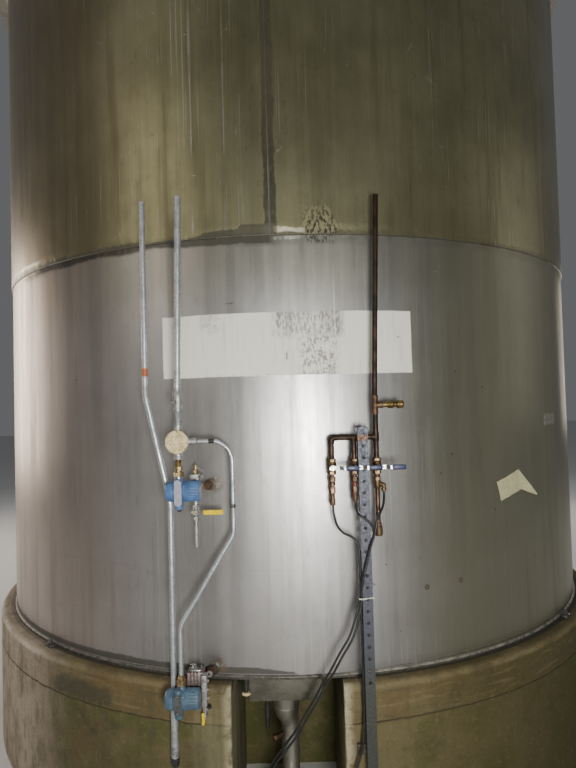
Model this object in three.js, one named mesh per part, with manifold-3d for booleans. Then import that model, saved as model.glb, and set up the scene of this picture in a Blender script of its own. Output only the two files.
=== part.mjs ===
// A flat-bottomed stainless storage tank on a round concrete plinth, with its outlet in a slot under
// the front, two level transmitters with their conduits on the left, and a compressed-air manifold on
// a strut post on the right.
//
// Millimetres, +Z up. The origin is the middle of the plinth's underside, and the front faces -Y.

import * as THREE from 'three';
import { mergeVertices } from 'three/addons/utils/BufferGeometryUtils.js';
import Module from 'manifold-3d';

const wasm = await Module();
wasm.setup();

// Clearance left between two pieces that touch.
const SEAT = 0.3;

// Plinth, cast in two lifts.
const PLINTH_RADIUS = 1920;
const PLINTH_HEIGHT = 720;
const LIFT_JOINT = 562;
const ARRIS_RADIUS = 32;
const SLOT_CENTRE = -42;
const SLOT_WIDTH = 465;
const SLOT_BACK = -1200;

// Tank: 12 ft inside diameter, two 6 ft courses of 1/4 in plate, the upper one lapped outside.
const INSIDE_RADIUS = 1828.8;
const PLATE = 6.35;
const SHELL_RADIUS = INSIDE_RADIUS + PLATE;
const UPPER_RADIUS = SHELL_RADIUS + SEAT + PLATE;
const FLOOR_RADIUS = 1846;
const FLOOR_THICKNESS = 8;
const LOWER_EDGE = PLINTH_HEIGHT + FLOOR_THICKNESS;
const SEAM_HEIGHT = PLINTH_HEIGHT + 1887;
const LAP = 25;
const SHELL_TOP = SEAM_HEIGHT + 1829;
const ROUND_SIDES = 96;

// Roof.
const RING_LEG = 50;
const RING_THICKNESS = 6;
const ROOF_RISE = 185;
const ROOF_PLATE = 5;
const MANWAY_RADIUS = 254;
const MANWAY_PLACE = [0, 1050];
const MANWAY_HEIGHT = 150;
const COVER_RADIUS = 310;
const VENT_RADIUS = 57;

// Outlet under the tank's front edge.
const SUMP_CENTRE = [-51, -1642];
const SUMP_SIDE = 315;
const SUMP_DEPTH = 110;
const NECK_RADIUS = 57.15;
const OUTLET_RADIUS = 38.1;
const OUTLET_Y = -1690;
const NECK_X = -52;
const OUTLET_X = -36;
const OUTLET_FOOT = 240;
const OUTLET_VALVE_FOOT = 178;
const ACTUATOR_Z = 209;
const ACTUATOR_RADIUS = 44;
const ACTUATOR_FRONT = -1895;
const ACTUATOR_PORT_X = -104;
const ACTUATOR_PORT_TOP = 235;
const ACTUATOR_PORT_Y = [-1780, -1855];
const SIDE_PORT_END = 30;
const SIDE_PORT_Y = -1870;
const PROBE_PLACE = [-217, -1822];

// Conduits and transmitters on the left, all on or near one vertical plane in front of the shell.
const STATION_Y = -1944;
const CONDUIT_TOP = 2745;
const LONG_CONDUIT_Y = -1889.7;
const LONG_CONDUIT_RADIUS = 11.7;
const DROP_CONDUIT_RADIUS = 13.35;
const BRANCH_RADIUS = 9;
const STANDOFF_WIDTH = 24;
const HOUSING_RADIUS = 42;
const HOUSING_LENGTH = 142;
const UPPER_TRANSMITTER = [-443, STATION_Y, 1533];
const LOWER_TRANSMITTER = [-462, STATION_Y, 701];
const BOX_CENTRE = [-461, STATION_Y, 1734];
const BOX_RADIUS = 47;
const BLOCK_SIDE = -384;
const BLOCK_DEPTH = 62;

// Sample valve under the upper transmitter's manifold.
const SAMPLE_X = -404;
const SAMPLE_Y = -1876;
const SAMPLE_STEM = 1441;

// Air manifold on the right.
const POST_X = 292;
const POST_SIZE = 41.3;
const POST_FRONT = -1966;
const POST_TOP = 1775;
const POST_WALL = 3;
const COPPER_RADIUS = 11.1;
const VALVE_RADIUS = 18.5;
const HEADER_Y = POST_FRONT + POST_SIZE + VALVE_RADIUS + 0.8;
const HEADER_Z = 1731;
const VALVE_X = [167, 260, 353];
const VALVE_NAMES = ['left', 'middle', 'right'];
const STEM_Z = 1613;
const LEVER_LENGTH = 105;
const LEVER_BACK = -1972.5;
const TEE_Z = 1863;
const COPPER_LEAN = 30;
const FITTING_FEET = [1452, 1466, 1376];
const ELBOW_REACH = 26;
const ELBOW_FOOT = 1508;

// Air hoses from the manifold to the outlet valve's actuator.
const HOSE_RADIUS = 4.75;
const TIE_Z = 1091;
const TIE_WIDTH = 4.5;
const TIE_THICKNESS = 1.4;

const UP = new THREE.Vector3(0, 1, 0);
const tank = new THREE.Group();
tank.name = 'storage_tank';

function finish(colour, roughness, metalness) {
  return new THREE.MeshStandardMaterial({ color: colour, roughness, metalness });
}

const concrete = finish(0x8d8868, 0.95, 0);
const stainless = finish(0x9c9a92, 0.38, 0.9);
const galvanised = finish(0xa4a9aa, 0.42, 0.9);
const castMetal = finish(0x8f918d, 0.55, 0.8);
const bluePaint = finish(0x4a7fae, 0.5, 0.1);
const creamPaint = finish(0xd6cda0, 0.6, 0.1);
const brass = finish(0xb59a5c, 0.4, 0.9);
const copper = finish(0x6f4330, 0.5, 0.8);
const yellowSleeve = finish(0xe6cf1c, 0.5, 0);
const blueSleeve = finish(0x27386f, 0.5, 0);
const blackHose = finish(0x1c1c1c, 0.5, 0);
const whiteNylon = finish(0xdcd8cc, 0.5, 0);

function add(name, geometry, material) {
  const mesh = new THREE.Mesh(geometry, material);
  mesh.name = name;
  tank.add(mesh);
}

// Shapes.

function block(low, high) {
  const size = low.map((value, i) => high[i] - value);
  const geometry = new THREE.BoxGeometry(...size);
  geometry.translate(...low.map((value, i) => value + size[i] / 2));
  return geometry;
}

function rod(from, to, radius, sides = 12, endRadius = radius) {
  const start = new THREE.Vector3(...from);
  const end = new THREE.Vector3(...to);
  const geometry = new THREE.CylinderGeometry(endRadius, radius, start.distanceTo(end), sides);
  const direction = end.clone().sub(start).normalize();
  geometry.applyQuaternion(new THREE.Quaternion().setFromUnitVectors(UP, direction));
  const middle = start.add(end).multiplyScalar(0.5);
  geometry.translate(middle.x, middle.y, middle.z);
  return geometry;
}

// A profile of [radius, height] points turned about the vertical axis.
function turned(profile, sides = ROUND_SIDES) {
  const points = profile.map(([radius, height]) => new THREE.Vector2(radius, height));
  const geometry = new THREE.LatheGeometry(points, sides);
  geometry.rotateX(Math.PI / 2);
  return geometry;
}

function ring(innerRadius, outerRadius, bottom, top) {
  return turned([
    [outerRadius, bottom], [outerRadius, top], [innerRadius, top], [innerRadius, bottom],
    [outerRadius, bottom],
  ]);
}

// Straight runs with round corners, stepped only where the route bends.
class BentRoute extends THREE.Curve {
  constructor(corners, bendRadius, stepsPerBend = 5) {
    super();
    const points = corners.map((corner) => new THREE.Vector3(...corner));
    this.stations = [points[0]];
    for (let i = 1; i < points.length - 1; i += 1) {
      const into = points[i].clone().sub(points[i - 1]).normalize();
      const out = points[i + 1].clone().sub(points[i]).normalize();
      const angle = into.angleTo(out);
      const setback = bendRadius * Math.tan(angle / 2);
      const axis = into.clone().cross(out).normalize();
      const start = points[i].clone().addScaledVector(into, -setback);
      const inward = axis.clone().cross(into);
      const centre = start.clone().addScaledVector(inward, bendRadius);
      for (let step = 0; step <= stepsPerBend; step += 1) {
        const arm = inward.clone().multiplyScalar(-bendRadius);
        arm.applyAxisAngle(axis, (angle * step) / stepsPerBend);
        this.stations.push(centre.clone().add(arm));
      }
    }
    this.stations.push(points[points.length - 1]);
    this.steps = this.stations.length - 1;
  }

  getPoint(t) {
    const place = Math.min(Math.max(t, 0), 1) * this.steps;
    const i = Math.min(Math.floor(place + 1e-6), this.steps - 1);
    return this.stations[i].clone().lerp(this.stations[i + 1], place - i);
  }

  getPointAt(u) {
    return this.getPoint(u);
  }

  getTangentAt(u) {
    const step = 0.25 / this.steps;
    return this.getPoint(u + step).sub(this.getPoint(u - step)).normalize();
  }
}

function circle(radius, sides) {
  const corners = [];
  for (let i = 0; i < sides; i += 1) {
    const angle = (2 * Math.PI * i) / sides;
    corners.push(new THREE.Vector2(radius * Math.cos(angle), radius * Math.sin(angle)));
  }
  return new THREE.Shape(corners);
}

function bentTube(corners, radius, bendRadius, sides = 12) {
  const route = new BentRoute(corners, bendRadius);
  return new THREE.ExtrudeGeometry(circle(radius, sides), { steps: route.steps, extrudePath: route });
}

// A smooth round hose through the given points.
function hose(points, steps) {
  const corners = points.map((point) => new THREE.Vector3(...point));
  const route = new THREE.CatmullRomCurve3(corners, false, 'centripetal');
  return new THREE.ExtrudeGeometry(circle(HOSE_RADIUS, 8), { steps, extrudePath: route });
}

// An outline of straight sides, given counter-clockwise, moved outwards by a distance.
function outset(points, distance) {
  const lines = points.map(([x, y], i) => {
    const [nextX, nextY] = points[(i + 1) % points.length];
    const length = Math.hypot(nextX - x, nextY - y);
    const out = [(nextY - y) / length, -(nextX - x) / length];
    return { out, offset: out[0] * x + out[1] * y + distance };
  });
  return lines.map((line, i) => {
    const before = lines[(i + lines.length - 1) % lines.length];
    const cross = before.out[0] * line.out[1] - before.out[1] * line.out[0];
    return [
      (before.offset * line.out[1] - line.offset * before.out[1]) / cross,
      (before.out[0] * line.offset - line.out[0] * before.offset) / cross,
    ];
  });
}

function solidOf(geometry) {
  const bare = geometry.clone();
  bare.deleteAttribute('normal');
  bare.deleteAttribute('uv');
  const merged = mergeVertices(bare, 1e-4);
  return new wasm.Manifold(new wasm.Mesh({
    numProp: 3,
    vertProperties: new Float32Array(merged.attributes.position.array),
    triVerts: Uint32Array.from(merged.index.array),
  }));
}

function geometryOf(solid) {
  const mesh = solid.getMesh();
  const geometry = new THREE.BufferGeometry();
  geometry.setAttribute('position', new THREE.BufferAttribute(mesh.vertProperties, 3));
  geometry.setIndex(new THREE.BufferAttribute(mesh.triVerts, 1));
  return geometry;
}

function join(...pieces) {
  return geometryOf(pieces.map(solidOf).reduce((whole, piece) => whole.add(piece)));
}

function cut(base, ...tools) {
  return geometryOf(tools.map(solidOf).reduce((whole, tool) => whole.subtract(tool), solidOf(base)));
}

// Plinth.

function slotTool() {
  const half = SLOT_WIDTH / 2;
  return block([SLOT_CENTRE - half, -PLINTH_RADIUS - 50, -50], [SLOT_CENTRE + half, SLOT_BACK, 800]);
}

function addPlinth() {
  const lower = turned([[0, 0], [PLINTH_RADIUS, 0], [PLINTH_RADIUS, LIFT_JOINT], [0, LIFT_JOINT]]);
  add('plinth_lower_lift', cut(lower, slotTool()), concrete);

  const profile = [[0, LIFT_JOINT], [PLINTH_RADIUS, LIFT_JOINT]];
  const steps = 4;
  for (let i = 0; i <= steps; i += 1) {
    const angle = (Math.PI / 2) * (i / steps);
    profile.push([
      PLINTH_RADIUS - ARRIS_RADIUS * (1 - Math.cos(angle)),
      PLINTH_HEIGHT - ARRIS_RADIUS * (1 - Math.sin(angle)),
    ]);
  }
  profile.push([0, PLINTH_HEIGHT]);
  add('plinth_top_lift', cut(turned(profile), slotTool()), concrete);
}

// Tank shell.

function addShell() {
  const floor = turned([
    [0, PLINTH_HEIGHT], [FLOOR_RADIUS, PLINTH_HEIGHT], [FLOOR_RADIUS, LOWER_EDGE], [0, LOWER_EDGE],
  ]);
  const sumpHalf = SUMP_SIDE / 2 - PLATE;
  const [sumpX, sumpY] = SUMP_CENTRE;
  const sumpHole = block([sumpX - sumpHalf, sumpY - sumpHalf, PLINTH_HEIGHT - 10],
    [sumpX + sumpHalf, sumpY + sumpHalf, LOWER_EDGE + 10]);
  add('tank_floor_plate', cut(floor, sumpHole), stainless);

  add('shell_lower_course', ring(INSIDE_RADIUS, SHELL_RADIUS, LOWER_EDGE, SEAM_HEIGHT + LAP), stainless);
  add('shell_upper_course', ring(SHELL_RADIUS + SEAT, UPPER_RADIUS, SEAM_HEIGHT, SHELL_TOP), stainless);
}

// Roof, with its curb angle, manway and vent.

function roofHeight(radius) {
  const edge = UPPER_RADIUS + RING_LEG;
  return SHELL_TOP + RING_THICKNESS + ROOF_RISE * (1 - radius / edge);
}

function addRoof() {
  const inner = UPPER_RADIUS + SEAT;
  const flange = SHELL_TOP;
  add('curb_angle', turned([
    [inner, flange - RING_LEG], [inner + RING_THICKNESS, flange - RING_LEG],
    [inner + RING_THICKNESS, flange], [inner + RING_LEG, flange],
    [inner + RING_LEG, flange + RING_THICKNESS], [inner, flange + RING_THICKNESS],
    [inner, flange - RING_LEG],
  ]), stainless);

  const edge = UPPER_RADIUS + RING_LEG;
  const lowest = SHELL_TOP + RING_THICKNESS + SEAT;
  const roof = turned([
    [0, lowest + ROOF_RISE], [edge, lowest], [edge, lowest + ROOF_PLATE],
    [0, lowest + ROOF_RISE + ROOF_PLATE],
  ]);
  const [x, y] = MANWAY_PLACE;
  const manwayHole = rod([x, y, SHELL_TOP - 100], [x, y, SHELL_TOP + 500], MANWAY_RADIUS + SEAT, 32);
  const ventHole = rod([0, 0, SHELL_TOP], [0, 0, SHELL_TOP + 500], VENT_RADIUS + SEAT, 24);
  add('roof_cone', cut(roof, manwayHole, ventHole), stainless);

  const atManway = roofHeight(y);
  const neckTop = atManway + MANWAY_HEIGHT;
  const neckFoot = atManway - 60;
  const neck = cut(
    join(
      rod([x, y, neckFoot], [x, y, neckTop], MANWAY_RADIUS, 32),
      rod([x, y, neckTop - 12], [x, y, neckTop], COVER_RADIUS, 32),
    ),
    rod([x, y, neckFoot - 10], [x, y, neckTop + 10], MANWAY_RADIUS - PLATE, 32),
  );
  add('manway_neck', neck, stainless);
  add('manway_cover', join(
    rod([x, y, neckTop], [x, y, neckTop + 14], COVER_RADIUS, 32),
    rod([x, y, neckTop + 13], [x, y, neckTop + 26], 90, 24),
  ), stainless);

  const ventFoot = roofHeight(0) - 40;
  const ventTop = roofHeight(0) + 150;
  add('roof_vent', cut(
    join(
      rod([0, 0, ventFoot], [0, 0, ventTop], VENT_RADIUS, 24),
      rod([0, 0, ventTop - 10], [0, 0, ventTop], 95, 24),
    ),
    rod([0, 0, ventFoot - 10], [0, 0, ventTop + 10], VENT_RADIUS - 3, 24),
  ), stainless);
}

// Outlet.

function addOutlet() {
  const [x, y] = SUMP_CENTRE;
  const half = SUMP_SIDE / 2;
  const top = PLINTH_HEIGHT;
  const foot = top - SUMP_DEPTH;
  const hollow = block([x - half + PLATE, y - half + PLATE, foot + PLATE],
    [x + half - PLATE, y + half - PLATE, top + 10]);
  const drain = rod([NECK_X, OUTLET_Y, foot - 10], [NECK_X, OUTLET_Y, foot + 20], NECK_RADIUS - 6, 24);
  add('outlet_sump', cut(block([x - half, y - half, foot], [x + half, y + half, top]), hollow, drain),
    stainless);

  const neckFoot = foot - 70;
  const taperFoot = neckFoot - 80;
  const taper = (radius, endRadius) => {
    const cone = rod([0, 0, 0], [0, 0, taperFoot - neckFoot], radius, 24, endRadius);
    cone.applyMatrix4(new THREE.Matrix4().makeShear(0, 0, 0, 0, (OUTLET_X - NECK_X) / (taperFoot - neckFoot), 0));
    cone.translate(NECK_X, OUTLET_Y, neckFoot);
    return cone;
  };
  add('outlet_reducer', cut(
    join(
      rod([NECK_X, OUTLET_Y, foot], [NECK_X, OUTLET_Y, neckFoot], NECK_RADIUS, 24),
      taper(NECK_RADIUS, OUTLET_RADIUS),
    ),
    rod([NECK_X, OUTLET_Y, foot + 10], [NECK_X, OUTLET_Y, neckFoot - 1], NECK_RADIUS - 3, 24),
    taper(NECK_RADIUS - 3, OUTLET_RADIUS - 3),
    rod([OUTLET_X, OUTLET_Y, taperFoot + 2], [OUTLET_X, OUTLET_Y, taperFoot - 10], OUTLET_RADIUS - 3, 24),
  ), stainless);
  add('outlet_pipe', cut(
    join(
      rod([OUTLET_X, OUTLET_Y, taperFoot], [OUTLET_X, OUTLET_Y, OUTLET_FOOT], OUTLET_RADIUS, 24),
      rod([OUTLET_X, OUTLET_Y, OUTLET_FOOT + 8], [OUTLET_X, OUTLET_Y, OUTLET_FOOT], 45.5, 24),
    ),
    rod([OUTLET_X, OUTLET_Y, taperFoot + 10], [OUTLET_X, OUTLET_Y, OUTLET_FOOT - 10], OUTLET_RADIUS - 2, 24),
  ), stainless);

  const valve = [OUTLET_X, OUTLET_Y];
  const ferrule = 8;
  add('outlet_valve', cut(
    join(
      rod([...valve, OUTLET_FOOT - SEAT], [...valve, OUTLET_FOOT - ferrule], 45.5, 24),
      rod([...valve, OUTLET_FOOT - ferrule + 1], [...valve, OUTLET_VALVE_FOOT + ferrule - 1], 42, 24),
      rod([...valve, OUTLET_VALVE_FOOT + ferrule], [...valve, OUTLET_VALVE_FOOT], 45.5, 24),
      rod([...valve, ACTUATOR_Z], [OUTLET_X, OUTLET_Y - 60, ACTUATOR_Z], 14, 12),
    ),
    rod([...valve, OUTLET_FOOT + 10], [...valve, ACTUATOR_Z + 3], OUTLET_RADIUS - 2, 24),
    rod([...valve, OUTLET_VALVE_FOOT - 10], [...valve, ACTUATOR_Z - 3], OUTLET_RADIUS - 2, 24),
  ), stainless);

  const barrelBack = OUTLET_Y - 60 - SEAT;
  const port = (portY) => [
    rod([OUTLET_X - 30, portY, ACTUATOR_Z], [ACTUATOR_PORT_X - 8, portY, ACTUATOR_Z], 8, 8),
    rod([ACTUATOR_PORT_X, portY, ACTUATOR_Z - 6], [ACTUATOR_PORT_X, portY, ACTUATOR_PORT_TOP], 7.5, 8),
  ];
  add('outlet_actuator', join(
    rod([OUTLET_X, barrelBack, ACTUATOR_Z], [OUTLET_X, ACTUATOR_FRONT, ACTUATOR_Z], ACTUATOR_RADIUS, 20),
    rod([OUTLET_X, barrelBack, ACTUATOR_Z], [OUTLET_X, barrelBack - 10, ACTUATOR_Z], 47, 20),
    rod([OUTLET_X, ACTUATOR_FRONT + 10, ACTUATOR_Z], [OUTLET_X, ACTUATOR_FRONT, ACTUATOR_Z], 47, 20),
    ...port(ACTUATOR_PORT_Y[0]),
    ...port(ACTUATOR_PORT_Y[1]),
    rod([OUTLET_X + 30, SIDE_PORT_Y, ACTUATOR_Z], [SIDE_PORT_END, SIDE_PORT_Y, ACTUATOR_Z], 7.5, 8),
  ), stainless);

  const [probeX, probeY] = PROBE_PLACE;
  add('bottom_probe', join(
    rod([probeX, probeY, top], [probeX, probeY, top - 72], 8.5, 12),
    rod([probeX, probeY, top - 50], [probeX, probeY, top - 78], 21, 16, 16),
  ), creamPaint);
}

// Conduits on the left.

function addConduits() {
  const y = LONG_CONDUIT_Y;
  add('long_conduit', bentTube([
    [-603, y, CONDUIT_TOP], [-603, y, 1925], [-507, y, 1478], [-509, y, 640],
  ], LONG_CONDUIT_RADIUS, 150), galvanised);
  add('long_conduit_foot', join(
    rod([-509, y, 640 - SEAT], [-509, y, 410], 14.8),
    rod([-509, y, 478], [-509, y, 452], 18, 6),
    rod([-509, y, 440], [-509, y, 404], 17.5),
  ), galvanised);
  const reach = -509 - STANDOFF_WIDTH / 2;
  const wall = -Math.sqrt(PLINTH_RADIUS ** 2 - (STANDOFF_WIDTH + reach) ** 2) - SEAT;
  add('conduit_standoff', block([reach, y + 14.8 + SEAT, 570], [reach + STANDOFF_WIDTH, wall, 610]),
    galvanised);

  const [boxX, , boxZ] = BOX_CENTRE;
  const sealTop = 1955;
  const sealFoot = 1857;
  const sealX = boxX + 2;
  add('drop_conduit', rod([sealX + 18, STATION_Y, CONDUIT_TOP], [sealX, STATION_Y, sealTop + 0.5],
    DROP_CONDUIT_RADIUS), galvanised);
  add('sealing_fitting', join(
    rod([sealX, STATION_Y, sealTop - SEAT], [sealX, STATION_Y, sealFoot], 18),
    rod([sealX, STATION_Y, sealTop - 22], [sealX, STATION_Y, sealTop - 76], 21),
    rod([sealX, STATION_Y, 1905], [sealX - 20, STATION_Y - 30, 1890], 11, 8),
    rod([sealX, STATION_Y, sealFoot + 1], [sealX, STATION_Y, boxZ + 82], DROP_CONDUIT_RADIUS),
  ), castMetal);
  add('junction_box', join(
    rod([boxX, STATION_Y + 26, boxZ], [boxX, STATION_Y - 20, boxZ], BOX_RADIUS - 3, 24),
    rod([sealX, STATION_Y, boxZ], [sealX, STATION_Y, boxZ + 82 - SEAT], 17.5),
    rod([boxX, STATION_Y, boxZ], [boxX, STATION_Y, boxZ - 72], 17.5),
    rod([boxX, STATION_Y, boxZ], [boxX + 78, STATION_Y, boxZ], 15),
  ), castMetal);
  add('junction_box_cover', rod([boxX, STATION_Y - 20 - SEAT, boxZ], [boxX, STATION_Y - 32, boxZ], BOX_RADIUS,
    24), creamPaint);
  const unionTop = boxZ - 72 - SEAT;
  const unionFoot = UPPER_TRANSMITTER[2] + 52;
  add('transmitter_union', join(
    rod([boxX, STATION_Y, unionTop], [boxX, STATION_Y, unionFoot], 12),
    rod([boxX, STATION_Y, unionFoot + 26], [boxX, STATION_Y, unionFoot], 21, 6),
    rod([boxX, STATION_Y, unionFoot + 48], [boxX, STATION_Y, unionFoot + 30], 17, 8),
  ), brass);

  const branchStart = boxX + 78 + SEAT;
  const lowerTop = LOWER_TRANSMITTER[2] + 96;
  add('branch_conduit', bentTube([
    [branchStart, STATION_Y, boxZ], [-241, STATION_Y, boxZ], [-241, STATION_Y, 1355],
    [-467, STATION_Y, 990], [-467, STATION_Y, lowerTop],
  ], BRANCH_RADIUS, 85), galvanised);
  add('branch_connector', join(
    rod([-467, STATION_Y, lowerTop - SEAT], [-467, STATION_Y, lowerTop - 20], 13),
    rod([-467, STATION_Y, lowerTop - 18], [-467, STATION_Y, LOWER_TRANSMITTER[2] + 52], 20, 6),
  ), brass);
}

// A level transmitter: a housing with a screwed cap at each end, a top port and a sensor neck below.
function transmitter([x, y, z], portX) {
  const half = HOUSING_LENGTH / 2;
  const split = x - half + 38;
  return join(
    rod([x - half, y, z], [split, y, z], HOUSING_RADIUS - 4, 16, HOUSING_RADIUS),
    rod([split - 1, y, z], [split + 34, y, z], HOUSING_RADIUS - 5, 16),
    rod([split + 33, y, z], [x + half - 6, y, z], HOUSING_RADIUS, 16),
    rod([x + half - 7, y, z], [x + half, y, z], HOUSING_RADIUS - 6, 16),
    rod([portX, y, z], [portX, y, z + 52 - SEAT], 17),
    rod([split + 17, y, z], [split + 17, y, z - 72], 15),
  );
}

// The sensor's valve block, behind the housing, and the root valve on the shell that it joins.
function rootValve(angleDegrees, z, blockSide) {
  const angle = THREE.MathUtils.degToRad(angleDegrees);
  const out = [Math.sin(angle), -Math.cos(angle)];
  const at = (radius) => [out[0] * radius, out[1] * radius, z];
  return join(
    rod(at(SHELL_RADIUS + SEAT), at(SHELL_RADIUS + 8), 26, 16),
    rod(at(SHELL_RADIUS + 7), at(SHELL_RADIUS + 60), 15, 12),
    rod(at(SHELL_RADIUS + 30), at(SHELL_RADIUS + 52), 19, 6),
    rod(at(SHELL_RADIUS + 44), [blockSide + SEAT, at(SHELL_RADIUS + 44)[1], z], 9, 12),
  );
}

function addTransmitters() {
  add('upper_transmitter', transmitter(UPPER_TRANSMITTER, BOX_CENTRE[0]), bluePaint);
  add('lower_transmitter', transmitter(LOWER_TRANSMITTER, -467), bluePaint);

  const back = STATION_Y + HOUSING_RADIUS + SEAT;
  const upperZ = UPPER_TRANSMITTER[2];
  add('upper_valve_block', join(
    block([BLOCK_SIDE - 46, back, upperZ - 32], [BLOCK_SIDE, back + BLOCK_DEPTH, upperZ + 62]),
    rod([-402, back + 24, upperZ + 61], [-402, back + 24, upperZ + 98], 9, 8),
  ), castMetal);
  add('upper_root_valve', rootValve(-10.96, upperZ + 7, BLOCK_SIDE), brass);
  add('lower_valve_block', join(
    block([-452, back, PLINTH_HEIGHT + 2], [BLOCK_SIDE, back + BLOCK_DEPTH, LOWER_TRANSMITTER[2] + 92]),
    block([-390, -1930, 660], [-368, back + 10, LOWER_TRANSMITTER[2] + 82]),
  ), castMetal);
  add('lower_root_valve', rootValve(-11.1, LOWER_TRANSMITTER[2] + 60, BLOCK_SIDE), brass);
  add('lower_drain_fitting', join(
    rod([-379, -1912, 660 - SEAT], [-379, -1912, 604], 10, 8),
    rod([-379, -1912, 638], [-358, -1912, 650], 8, 8),
  ), castMetal);
}

// Levers. A strip on the stem, stepped forward to the grip, which a sleeve covers.
function lever(stem, outward, length, sleeveStart, offset, sleeveWidth) {
  const [x, back, z] = stem;
  const strip = 3;
  const front = back - strip;
  const gripBack = back - offset;
  const outline = [
    [-13, back], [26, back], [44, gripBack], [length - 4, gripBack], [length - 4, gripBack - strip],
    [43, gripBack - strip], [25, front], [-13, front],
  ].map(([along, y]) => new THREE.Vector2(x + outward * along, y));
  const bar = new THREE.ExtrudeGeometry(new THREE.Shape(outline), { depth: 16, bevelEnabled: false });
  bar.translate(0, 0, z - 8);
  const sleeveMiddle = gripBack - strip / 2;
  return join(
    bar,
    block([x + sleeveStart, sleeveMiddle - 5, z - sleeveWidth / 2],
      [x + length, sleeveMiddle + 5, z + sleeveWidth / 2]),
    rod([x, front + 1, z], [x, front - 5.5, z], 8.5, 6),
  );
}

function addSampleValve() {
  const foot = UPPER_TRANSMITTER[2] - 32 - SEAT;
  add('sample_valve', join(
    rod([SAMPLE_X, SAMPLE_Y, foot], [SAMPLE_X, SAMPLE_Y, SAMPLE_STEM - 62], 8, 12),
    rod([SAMPLE_X, SAMPLE_Y, SAMPLE_STEM + 28], [SAMPLE_X, SAMPLE_Y, SAMPLE_STEM - 38], 13.5, 12),
    rod([SAMPLE_X, SAMPLE_Y, SAMPLE_STEM + 24], [SAMPLE_X, SAMPLE_Y, SAMPLE_STEM + 6], 16, 6),
    rod([SAMPLE_X, SAMPLE_Y, SAMPLE_STEM], [SAMPLE_X, SAMPLE_Y - 34, SAMPLE_STEM], 8, 12),
  ), castMetal);
  add('sample_tube', rod([SAMPLE_X, SAMPLE_Y, SAMPLE_STEM - 62 - SEAT], [SAMPLE_X, SAMPLE_Y, 1290], 4.5, 10),
    creamPaint);
  add('sample_lever', lever([SAMPLE_X, SAMPLE_Y - 34 - SEAT, SAMPLE_STEM], 1, 120, 36, 12, 20), yellowSleeve);
}

// Strut post.

function addPost() {
  const left = POST_X - POST_SIZE / 2;
  const right = POST_X + POST_SIZE / 2;
  const back = POST_FRONT + POST_SIZE;
  const outside = block([left, POST_FRONT, 0], [right, back, POST_TOP]);
  const inside = block([left + POST_WALL, POST_FRONT + POST_WALL, -10],
    [right - POST_WALL, back - POST_WALL, POST_TOP + 10]);
  const mouth = block([left + 10, back - 10, -10], [right - 10, back + 10, POST_TOP + 10]);
  add('strut_post', cut(outside, inside, mouth), galvanised);

  const bracketLeft = POST_X - 55;
  const face = -Math.sqrt(PLINTH_RADIUS ** 2 - bracketLeft ** 2) - SEAT;
  for (const [name, z] of [['post_bracket_lower', 190], ['post_bracket_upper', 470]]) {
    add(name, block([bracketLeft, back + SEAT, z - 20], [POST_X + 15, face, z + 20]), galvanised);
  }
}

// Air manifold.

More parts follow.
